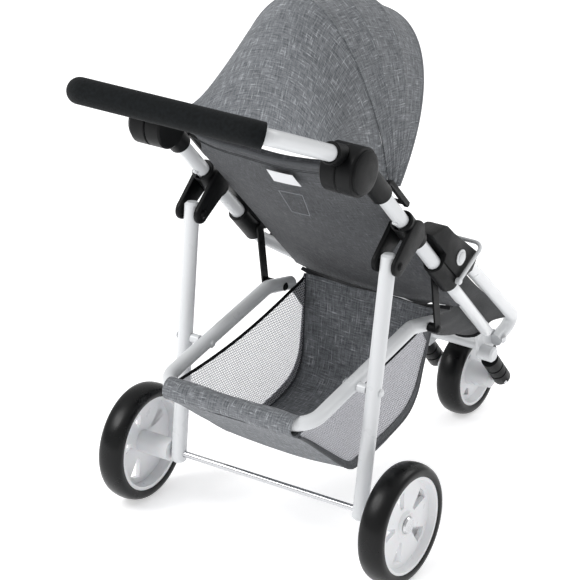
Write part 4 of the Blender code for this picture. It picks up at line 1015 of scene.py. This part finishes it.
# ---- bumper bar ----------------------------------------------------------------------------
def bumper_bar(looks):
    """A wire whose two ends turn inwards and pivot in the side joints."""
    far = (BAR_PIVOT[0] + BAR_REACH[0], BAR_PIVOT[1] + BAR_REACH[1])
    half = BAR_SPREAD
    route = [place(BAR_PIVOT, -half), place(far, -half), place(far, half), place(BAR_PIVOT, half)]
    body = pipe("bumper_bar", rounded(route, BAR_BEND), BAR_RADIUS, looks["paint"], 6)
    for side, word in SIDES:
        start = side * (MAIN_X + LOWER_RADIUS + 0.0008)
        flange = JOINT_RADIUS - LOWER_RADIUS - 0.0002
        end = BAR_SPREAD + BAR_RADIUS + 0.0005 - abs(start)
        stud = turned(f"bumper_stud_{word}",
                      [(0, 0), (BAR_PIN_RADIUS, 0), (BAR_PIN_RADIUS, flange), (0.0036, flange),
                       (0.0042, flange + 0.001), (0.0042, end - 0.0012), (0.003, end), (0, end)],
                      *across(BAR_PIVOT, start, start + side * 0.02), looks["paint"])
        combine(body, stud, "UNION")


# ---- hood -----------------------------------------------------------------------------------
def hood_point(angle, share, radius_drop=0.0):
    """A point of the hood: `share` goes from 0 to 1 over the arch, from right to left."""
    turn = pi * share
    x = -(HOOD_HALF_WIDTH - radius_drop) * cos(turn)
    reach = (HOOD_RADIUS - radius_drop) * sin(turn)
    side_point = (HOOD_PIVOT[0] + reach * cos(radians(angle)),
                  HOOD_PIVOT[1] + reach * sin(radians(angle)))
    return place(side_point, x)


def bow(name, angle, drop, look):
    """A steel hoop with an eye round the hood's stud at each end."""
    first = asin(BOW_EYE_RADIUS * 0.7 / HOOD_RADIUS) / pi
    shares = [first + (1 - 2 * first) * step / BOW_STEPS for step in range(BOW_STEPS + 1)]
    body = pipe(name, [hood_point(angle, share, drop) for share in shares], BOW_RADIUS, look, 5)
    reach = HOOD_HALF_WIDTH - drop
    half = BOW_EYE_WIDTH / 2
    for side, word in SIDES:
        eye = ring(f"{name}_eye_{word}",
                   *across(HOOD_PIVOT, side * (reach - half), side * (reach + half)),
                   HOOD_STUD_RADIUS + GAP, BOW_EYE_RADIUS, look, 12)
        combine(body, eye, "UNION")


# ---- soft parts ----------------------------------------------------------------------------
def cloth(name, at, look, thick=0.0016, cells=(40, 40), turn=False, start=(0.0, 0.0),
          upright=False):
    """A closed thin sheet. `at(u, v)` gives the point for u and v from 0 to 1. The UVs are
    metres along the threads: along the middle of the sheet and square to it, or the place
    seen from the side where the sheet is upright."""
    across_count, along_count = cells
    middle = [at(i / across_count, 0.5) for i in range(across_count + 1)]
    run = [0.0]
    for a, b in zip(middle, middle[1:]):
        run.append(run[-1] + (b - a).length)
    work = bmesh.new()
    bmesh.ops.create_grid(work, x_segments=across_count, y_segments=along_count, size=0.5)
    metres = work.loops.layers.uv.new("metres")
    shares = {}
    for vert in work.verts:
        u, v = vert.co.x + 0.5, vert.co.y + 0.5
        column = min(across_count, max(0, round(u * across_count)))
        point = at(u, v)
        side = (point - middle[column]).length * (1 if v > 0.5 else -1)
        shares[vert.index] = ((point.y, point.z) if upright
                              else (start[0] + run[column], start[1] + side))
        vert.co = point
    for face in work.faces:
        for corner in face.loops:
            corner[metres].uv = shares[corner.vert.index]
    if turn:
        bmesh.ops.reverse_faces(work, faces=work.faces)
    made = linked(name, mesh_of(name, work, look))
    shell = made.modifiers.new("thickness", "SOLIDIFY")
    shell.thickness = thick
    shell.offset = -1
    applied(made)
    smooth(made.data, 60)
    return made


def puffy(point, amount, scale):
    """A small soft unevenness at a point."""
    return amount * noise.noise(Vector(point) * scale)


HOOD_SWELL = (0.88, 1.14)   # of the front and rear bow; under 1 is fuller than an ellipse
HOOD_DRAW_IN = 0.003        # how much less the front bow reaches than the rear one
HOOD_CLOTH_ENDS = 0.018     # share of the arch left off at each end
HOOD_SLACK = 0.0035         # how far a gore is pulled in between its bows
HOOD_CREASE = 0.0012        # depth of the creases near the hood's two sides


def hood_cloth_point(angle, share):
    """A point of the outer cloth; angle from ahead in degrees."""
    turn = pi * (HOOD_CLOTH_ENDS + (1 - 2 * HOOD_CLOTH_ENDS) * share)
    rear, front = HOOD_ANGLES[0], HOOD_ANGLES[3]
    back = (angle - front) / (rear - front)
    less = HOOD_DRAW_IN * (1 - back)
    swell = HOOD_SWELL[0] + (HOOD_SWELL[1] - HOOD_SWELL[0]) * back
    x = -(HOOD_HALF_WIDTH + 0.003 - 0.006 * back) * abs(cos(turn)) ** swell * (
        1 if cos(turn) > 0 else -1)
    reach = (HOOD_RADIUS + 0.001 - less) * sin(turn) ** swell
    return place((HOOD_PIVOT[0] + reach * cos(radians(angle)),
                  HOOD_PIVOT[1] + reach * sin(radians(angle))), x)


def hood_gore(name, first, last, look, start):
    """One cloth strip of the hood, pulled in a little between its two bows."""
    def at(u, v):
        angle = first + (last - first) * v
        point = hood_cloth_point(angle, u)
        inward = (place(HOOD_PIVOT) - point)
        inward.x *= 0.6
        slack = HOOD_SLACK * sin(pi * v) * sin(pi * u)
        crease = (HOOD_CREASE * sin(pi * v) * sin(9 * pi * v + 5 * u)
                  * max(0.0, abs(2 * u - 1) - 0.3))
        return point + inward.normalized() * (slack + crease
                                              + puffy(point, 0.0012, 28.0))
    return cloth(name, at, look, cells=(72, 14), start=start)


HOOD_LOW = (-0.050, 0.530)      # the rear panel's lower edge, between the hinges
HOOD_LOW_HALF = 0.112           # half its width


def hood_rear_panel(look):
    """The cloth from the rear bow down to the hinges, rounded over at the top."""
    rear = HOOD_ANGLES[0]

    def at(u, v):
        top = hood_cloth_point(rear, u)
        onward = (hood_cloth_point(rear + 1, u) - hood_cloth_point(rear - 1, u)).normalized()
        turn = pi * (HOOD_CLOTH_ENDS + (1 - 2 * HOOD_CLOTH_ENDS) * u)
        low = place(HOOD_LOW, -HOOD_LOW_HALF * abs(cos(turn)) ** 0.9
                    * (1 if cos(turn) > 0 else -1))
        low += Vector((0, 0.004, 0)) * sin(turn)
        run = (low - top).length
        first, second = top + onward * run * 0.16, low + Vector((0, -0.30, 0.95)) * run * 0.30
        a, b, c = top.lerp(first, v), first.lerp(second, v), second.lerp(low, v)
        point = a.lerp(b, v).lerp(b.lerp(c, v), v)
        return point + Vector((0, puffy(point, 0.002, 20.0) * sin(pi * v), 0))
    return cloth("hood_rear_panel", at, look, cells=(72, 30), start=(0.0, 0.3))


def edge_points(at, fixed, value, count=48):
    """Points along one line of a sheet, u or v held at a value."""
    return [at(value, i / count) if fixed == "u" else at(i / count, value)
            for i in range(count + 1)]


# ---- backrest and seat ----
def back_half(v):
    hub = HINGE_FACE - HINGE_HUB_WIDTH - 0.002
    yoke = LEG_TOP_SPREAD - LEG_RADIUS - 0.001 - YOKE_THICKNESS - 0.002
    share = min(1.0, max(0.0, (v - 0.09) / 0.11))
    share = share * share * (3 - 2 * share)
    return hub + (yoke - hub) * share


BACK_LONGER = 0.027         # the cloth past the seat's fold, down to the basket


def backrest_point(u, v, over=0.0):
    """u from the right to the left tube, v from the top edge to the bottom one."""
    along = BACK_FROM + (BACK_TO + BACK_LONGER - BACK_FROM) * v
    across_share = 2 * u - 1
    droop = BACK_SAG * (1 - across_share ** 2) * (0.9 + 0.5 * sin(pi * v))
    wave = 0.0016 * sin(7 * v + 3 * u) * sin(pi * u)
    point = place(on_main(along, 0.004 - droop + wave + over), across_share * back_half(v))
    if v < 0.5:         # the top edge hangs lowest in its middle
        point += (place(on_main(1)) - place(on_main(0))) * (
            0.005 * (1 - across_share ** 2) * (1 - 2 * v))
    return point + Vector((0, 0, puffy(point, 0.0015, 18.0)))


PATCH = ((0.400, 0.215), (0.535, 0.215), (0.545, 0.355), (0.440, 0.355))    # shares of the sheet
LABEL_FROM, LABEL_SIZE = (0.352, 0.074), (0.165, 0.070)
STITCH_RADIUS = 0.00045
BACK_UNDER = -0.0056        # of the stitches, under the sheet's upper face


def backrest(looks):
    made = cloth("backrest_cloth", backrest_point, looks["seat"],
                 thick=0.005, cells=(56, 72))
    parts = []
    top = [backrest_point(i / 48, 0.004, -0.0025) for i in range(49)]
    parts.append(pipe("backrest_top_piping", top, 0.0030, looks["seat"], 3))
    for index, v in enumerate((0.034, 0.044)):
        line = [backrest_point(0.02 + 0.96 * i / 60, v, BACK_UNDER) for i in range(61)]
        parts.append(pipe(f"backrest_hem_stitch_{index}", line, STITCH_RADIUS, looks["thread"], 1))
    corners = [*PATCH, PATCH[0]]
    route = [backrest_point(a[0] + (b[0] - a[0]) * i / 12, a[1] + (b[1] - a[1]) * i / 12,
                            BACK_UNDER)
             for a, b in zip(corners, corners[1:]) for i in range(12)]
    route.append(route[0])
    parts.append(pipe("backrest_patch_stitch", route, STITCH_RADIUS, looks["pale_thread"], 1))
    return made, parts


def blank_label(looks):
    """A blank label sewn under the backrest's hem."""
    def at(u, v):
        return backrest_point(LABEL_FROM[0] + LABEL_SIZE[0] * u,
                              LABEL_FROM[1] + LABEL_SIZE[1] * v, -0.0062)
    return cloth("blank_label", at, looks["label"], thick=0.0006, cells=(16, 8), turn=True)


SEAT_REAR, SEAT_LENGTH = 0.226, 0.200
SEAT_TUBE = (0.149, 0.332, 0.1406)      # a point of the lower tube: ahead, up and sideways


def seat_point(u, v):
    """u from the right to the left lower tube, v forwards from the backrest's lower edge."""
    ahead = SEAT_REAR + SEAT_LENGTH * v
    past = ahead - SEAT_TUBE[0]
    tube_up, tube_out = SEAT_TUBE[1] - 0.656 * past, SEAT_TUBE[2] - 0.3186 * past
    depth = 0.034 + 0.022 * sin(pi * v ** 0.6) - 0.018 * v
    across_share = 2 * u - 1
    rise = abs(across_share) ** 4 * min(1.0, 0.25 + 5 * v)
    up = tube_up - 0.005 - (depth - 0.005) * (1 - rise)
    up += puffy((3 * u, 3 * v, 0), 0.003, 2.0) + 0.0015 * sin(16 * v + 6 * u) * (1 - rise)
    return place((ahead, up), across_share * (tube_out - 0.006))


def seat_pan(looks):
    made = cloth("seat_pan_cloth", seat_point, looks["dark"], thick=0.005, cells=(40, 40))
    rim = edge_points(seat_point, "v", 0.99)
    return made, [pipe("seat_front_binding", rim, 0.003, looks["tape"], 3)]


def side_panel_at(side):
    top_start, top_end = rail_start(side), place(RAIL_CORNER, side * RAIL_CORNER_SPREAD)
    low_start, low_end = lower_line(side)

    def at(u, v):
        share = 0.05 + 0.88 * u
        top, low = top_start.lerp(top_end, share), low_start.lerp(low_end, share)
        down = (low - top).normalized()
        first = top + down * (RAIL_RADIUS + 0.002)
        last = low - down * (LOWER_RADIUS - 0.003)
        point = first.lerp(last, v)
        inward = 0.006 * sin(pi * v) + 0.002 * sin(14 * u) * sin(pi * v)
        return point - Vector((side * inward, 0, 0))
    return at


def side_cloth(side, word, looks):
    at = side_panel_at(side)
    made = cloth(f"side_cloth_{word}", at, looks["dark"], thick=0.0022, cells=(32, 14),
                 turn=side > 0)
    rim = edge_points(at, "v", 1.0)
    return made, [pipe(f"side_binding_{word}", rim, 0.003, looks["tape"], 3)]


# ---- basket ----
BAG_OUTLINE = ((-0.084, 0.190), (-0.055, 0.171), (-0.008, 0.137), (0.046, 0.100),
               (0.075, 0.098), (0.108, 0.103), (0.146, 0.111), (0.180, 0.124),
               (0.198, 0.147), (0.204, 0.180), (0.209, 0.215), (0.215, 0.256))


def smooth_outline(points, steps):
    """Points spread along a smooth curve through the given ones, with their shares."""
    found = []
    count = len(points)
    for i in range(count - 1):
        p = [points[max(0, min(count - 1, j))] for j in (i - 1, i, i + 1, i + 2)]
        for step in range(steps):
            t = step / steps
            found.append(tuple(0.5 * (2 * p[1][k] + (p[2][k] - p[0][k]) * t
                                      + (2 * p[0][k] - 5 * p[1][k] + 4 * p[2][k] - p[3][k])
                                      * t * t
                                      + (3 * p[1][k] - p[0][k] - 3 * p[2][k] + p[3][k])
                                      * t ** 3) for k in (0, 1)))
    found.append(points[-1])
    return found


BAG_LINE = smooth_outline(BAG_OUTLINE, 8)
BAG_TOP_FRONT, BAG_TOP_REAR = (0.213, 0.250), (-0.070, 0.200)
BAG_TOP_HALF = BASKET_TOP_HALF + 0.004
STRIP_OUT = 0.0012          # how far the strips lie outside the net


def bag_line(share):
    at = share * (len(BAG_LINE) - 1)
    index = min(int(at), len(BAG_LINE) - 2)
    return between(BAG_LINE[index], BAG_LINE[index + 1], at - index)


def bag_half(share):
    """Half width of the cloth at a share along the outline: wide at both top edges."""
    wide = abs(2 * share - 1) ** 2.2
    return BASKET_FLOOR_HALF + (BAG_TOP_HALF - BASKET_FLOOR_HALF) * wide


def bag_floor_point(u, v):
    """u from right to left, v along the outline from the rear edge to the front one."""
    ahead, up = bag_line(v)
    across_share = 2 * u - 1
    droop = 0.003 * (1 - across_share ** 2) * sin(pi * v)
    crease = 0.0016 * sin(11 * v + 4 * u) * sin(pi * v)
    point = place((ahead, up - droop + crease), across_share * bag_half(v))
    return point + Vector((0, 0, puffy(point, 0.002, 16.0)))


def bag_side_at(side):
    def at(u, v):
        ahead, up = bag_line(u)
        low = place((ahead, up), side * bag_half(u))
        top_ahead, top_up = between(BAG_TOP_REAR, BAG_TOP_FRONT, u)
        sag = 0.010 * sin(pi * u)
        high = place((top_ahead, top_up - sag), side * BAG_TOP_HALF)
        point = low.lerp(high, v)
        bow_in = 0.005 * sin(pi * v) * sin(pi * u)
        return point - Vector((side * bow_in, 0, 0))
    return at


def bag(looks):
    floor = cloth("basket_cloth", bag_floor_point, looks["hood"], thick=0.0022,
                  cells=(40, 80), turn=True)
    nets = [cloth(f"basket_net_{word}", bag_side_at(side), looks["net"], thick=0.0008,
                  cells=(80, 24), turn=side > 0, upright=True) for side, word in SIDES]
    return floor, *nets


def bag_trims(looks):
    made = []
    for side, word in SIDES:
        at = bag_side_at(side)

        def front(u, v):
            return at(0.90 + 0.10 * u, v * 0.985) + Vector((side * STRIP_OUT, 0, 0))

        def under(u, v):
            return at(0.04 + 0.9 * u, 0.10 * v) + Vector((side * STRIP_OUT, 0, 0))

        for place_word, strip, cells in (("front", front, (6, 30)), ("low", under, (70, 4))):
            made.append(cloth(f"basket_{place_word}_strip_{word}", strip, looks["seat"],
                              thick=0.0012, cells=cells, turn=side > 0))
        made.append(pipe(f"basket_net_top_cord_{word}", edge_points(at, "v", 1.0), 0.0020,
                         looks["tape"], 3))
        made.append(pipe(f"basket_low_binding_{word}", edge_points(at, "v", 0.0), 0.0020,
                         looks["seat"], 3))
    return made


def rear_sleeve(looks):
    """The cloth tube sewn round the basket frame's rear bar."""
    radius = 0.0118
    half = BASKET_TUBE_SPREAD - 0.014       # clear of the frame's two bends
    centre = (BASKET_REAR[0], BASKET_REAR[1] - 0.001)

    def at(u, v):
        turn = 2 * pi * v
        x = (2 * u - 1) * half
        swell = radius + 0.0012 * sin(9 * u) + puffy((u * 6, cos(turn), sin(turn)), 0.001, 1.3)
        return place((centre[0] + swell * cos(turn), centre[1] + swell * 0.97 * sin(turn)), x)
    return cloth("basket_rear_sleeve", at, looks["hood"], thick=0.0015, cells=(60, 28),
                 turn=True)


# ---- the whole stroller --------------------------------------------------------------------
looks = {
    "paint": powder_coat(), "plastic": moulded_black(), "foam": eva_foam(),
    "rubber": tyre_rubber(), "wheel": moulded_white(), "steel": zinc_steel(),
    # the hood's grey melange with every yarn colour made darker: painted shade for the backrest, which
    # faces down and away from the light; the same darkened cloth also dresses the backrest piping and
    # the basket's strips and low binding
    "seat": melange("dark_melange_cloth", "2a2c2f", "434548", "585a5e", "7c7f83"),
    "hood": melange("grey_melange_cloth", "494c50", "707377", "8f9296", "c2c5c8"),
    "dark": melange("black_melange_cloth", "17181a", "222326", "2c2e31", "44464a"),
    "net": net(), "tape": webbing(), "label": label_cloth(),
    "thread": plain("dark_sewing_thread", "2d2f32", 0.7),
    "pale_thread": plain("grey_sewing_thread", "85888c", 0.7),
}

rear_wheels(looks)
front_wheel(looks)
main_tubes(looks)
lower_tubes(looks)
rails(looks)
side_joints(looks)
hinge_bases(looks)
hood_mounts(looks)
snap_buttons(looks)
legs(looks)
leg_sliders(looks)
basket_frame(looks)
front_end(looks)
handle(looks)
bumper_bar(looks)
rear, fixed, middle, front = HOOD_ANGLES
bow("hood_bow_rear", rear - 2, BOW_DROPS[0], looks["steel"])
bow("hood_bow_middle", middle + 1, BOW_DROPS[1], looks["steel"])
bow("hood_bow_front", front + 1, BOW_DROPS[2], looks["steel"])

for made in [o for o in bpy.data.objects if o.name.endswith("_fine")]:
    node = made.name[:-5]
    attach(made, frame["nodes"][node]["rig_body"])
    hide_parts(node)
    if node.startswith(("slider_pin", "basket_strap", "strap_rivet")):
        made.data.materials[0] = looks["plastic"]
    if node.startswith("leg_rivet"):
        made.data.materials[0] = looks["paint"]


def dress(made, body, stands_for=(), others=()):
    """A cloth piece and its trims ride a body; the piece stands for its CAD nodes."""
    for piece in (made, *others):
        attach(piece, body)
    if stands_for:
        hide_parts(*stands_for)


# ---- hood ----
gore_rear = hood_gore("hood_gore_rear", rear, fixed, looks["hood"], (0.0, 0.215))
rear_panel = hood_rear_panel(looks["hood"])
gore_middle = hood_gore("hood_gore_middle", fixed, middle, looks["hood"], (0.0, 0.13))
gore_front = hood_gore("hood_gore_front", middle, front, looks["hood"], (0.0, 0.045))


def arc(angle, count=72):
    return [hood_cloth_point(angle, i / count) for i in range(count + 1)]


seam_middle = pipe("hood_seam_middle", arc(middle), 0.0011, looks["hood"], 2)
brim = pipe("hood_brim_binding", arc(front), 0.0024, looks["hood"], 3)
low_edge = pipe("hood_rear_edge_binding",
                [place(HOOD_LOW, -HOOD_LOW_HALF + 0.002)
                 + Vector((2 * (HOOD_LOW_HALF - 0.002) * i / 40, 0.004 * sin(pi * i / 40), 0))
                 for i in range(41)], 0.0026, looks["tape"], 3)
dress(gore_rear, "chassis", ("hood_rear",))
dress(rear_panel, "chassis", ("hood_back",), (low_edge,))


def bend(piece, node=None):
    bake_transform(piece)
    if node:
        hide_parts(node)


bend(gore_middle, "hood_middle")
bend(gore_front,
     "hood_front")
dress(seam_middle, "hood_mid_section")
dress(brim, "hood_front_section")

# ---- seat ----
back, back_trims = backrest(looks)
dress(back, "chassis", ("seat_back",), back_trims)
label = blank_label(looks)
dress(label, "chassis")
pan, pan_trims = seat_pan(looks)
dress(pan, "chassis", ("seat_base",), pan_trims)
side_pieces = []
for side, word in SIDES:
    made, trims = side_cloth(side, word, looks)
    dress(made, "chassis", (f"side_panel_{word}",), trims)
    side_pieces.append((made, trims, word))

# ---- basket ----
bag_floor, *nets = bag(looks)
dress(bag_floor, "basket_frame", ("basket",), nets)
bag_edges = bag_trims(looks)
sleeve = rear_sleeve(looks)
dress(sleeve, "basket_frame", others=bag_edges)


# ---- the cut of each cloth, in metres ----
tubes = ["main_tube_right_fine", "main_tube_left_fine"]
rear_bow, middle_bow, front_bow = (f"hood_bow_{word}_fine" for word in ("rear", "middle",
                                                                       "front"))
for piece, flat, area, held, rests_on, trims in (
        (gore_rear, (0.54, 0.058), 0.0189, "stretched", [rear_bow], []),
        (rear_panel, (0.50, 0.19), 0.0442, "stretched", [rear_bow], [low_edge]),
        (gore_middle, (0.54, 0.062), 0.0206, "stretched", [rear_bow, middle_bow],
         [seam_middle]),
        (gore_front, (0.54, 0.068), 0.0224, "stretched", [middle_bow, front_bow], [brim]),
        (back, (0.246, 0.37), 0.0897, "stretched", tubes, back_trims),
        (label, (0.0405, 0.0305), None, "stretched", [back.name], []),
        (pan, (0.30, 0.24), 0.0416, "hung", ["lower_tube_right_fine", "lower_tube_left_fine"],
         pan_trims),
        (bag_floor, (0.185, 0.47), 0.0811, "hung", ["basket_tube_fine"], bag_edges),
        *((made, (0.30, 0.16), 0.02875, "hung", ["basket_tube_fine"], []) for made in nets),
        (sleeve, (0.185, 0.081), 0.0148, "stretched", ["basket_tube_fine"], []),
        *((made, (0.29, 0.06), 0.0096, "stretched",
           [f"seat_rail_{word}_fine", f"lower_tube_{word}_fine"], trims)
          for made, trims, word in side_pieces)):
    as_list(rests_on)
    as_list(trims)

# ---- floor, light and camera ----------------------------------------------------------------
def floor_plane():
    work = bmesh.new()
    bmesh.ops.create_grid(work, x_segments=1, y_segments=1, size=6.0)
    pale = plain("pale_studio_floor", "f8f8f9", 0.9, **{"Specular IOR Level": 0.1,
                                                        "Emission Color": (1.0, 1.0, 1.0, 1),
                                                        "Emission Strength": 0.47})
    made = linked("floor", mesh_of("floor", work, pale))
    made.location.z = -0.0005


def area_light(name, at, towards, size, watts):
    lamp = bpy.data.lights.new(name, "AREA")
    lamp.shape = "DISK"
    lamp.size = size
    lamp.energy = watts
    made = linked(name, lamp)
    made.location = at
    made.rotation_euler = (Vector(towards) - Vector(at)).to_track_quat("-Z", "Y").to_euler()


floor_plane()
scene = bpy.context.scene
world = bpy.data.worlds.new("studio")
world.use_nodes = True
sky = world.node_tree.nodes["Background"]
sky.inputs["Color"].default_value = (1.0, 1.0, 1.0, 1)
sky.inputs["Strength"].default_value = 0.62
scene.world = world
area_light("key", (1.5, 2.0, 2.6), (0, 0, 0.3), 1.8, 62)
area_light("fill", (-1.2, -1.8, 2.6), (0, 0, 0.3), 2.0, 22)
scene.view_settings.view_transform = "Standard"
scene.view_settings.look = "None"

lens = bpy.data.cameras.new("camera")
lens.sensor_width = 36.0
lens.lens = 179.5
lens.shift_x = 0.0414
lens.shift_y = 0.0103
lens.clip_end = 50
camera = linked("camera", lens)
camera.location = (-1.73148, 2.80980, 1.57835)
camera.rotation_euler = (radians(68.3057), radians(-1.9557), radians(-145.9928))
scene.camera = camera
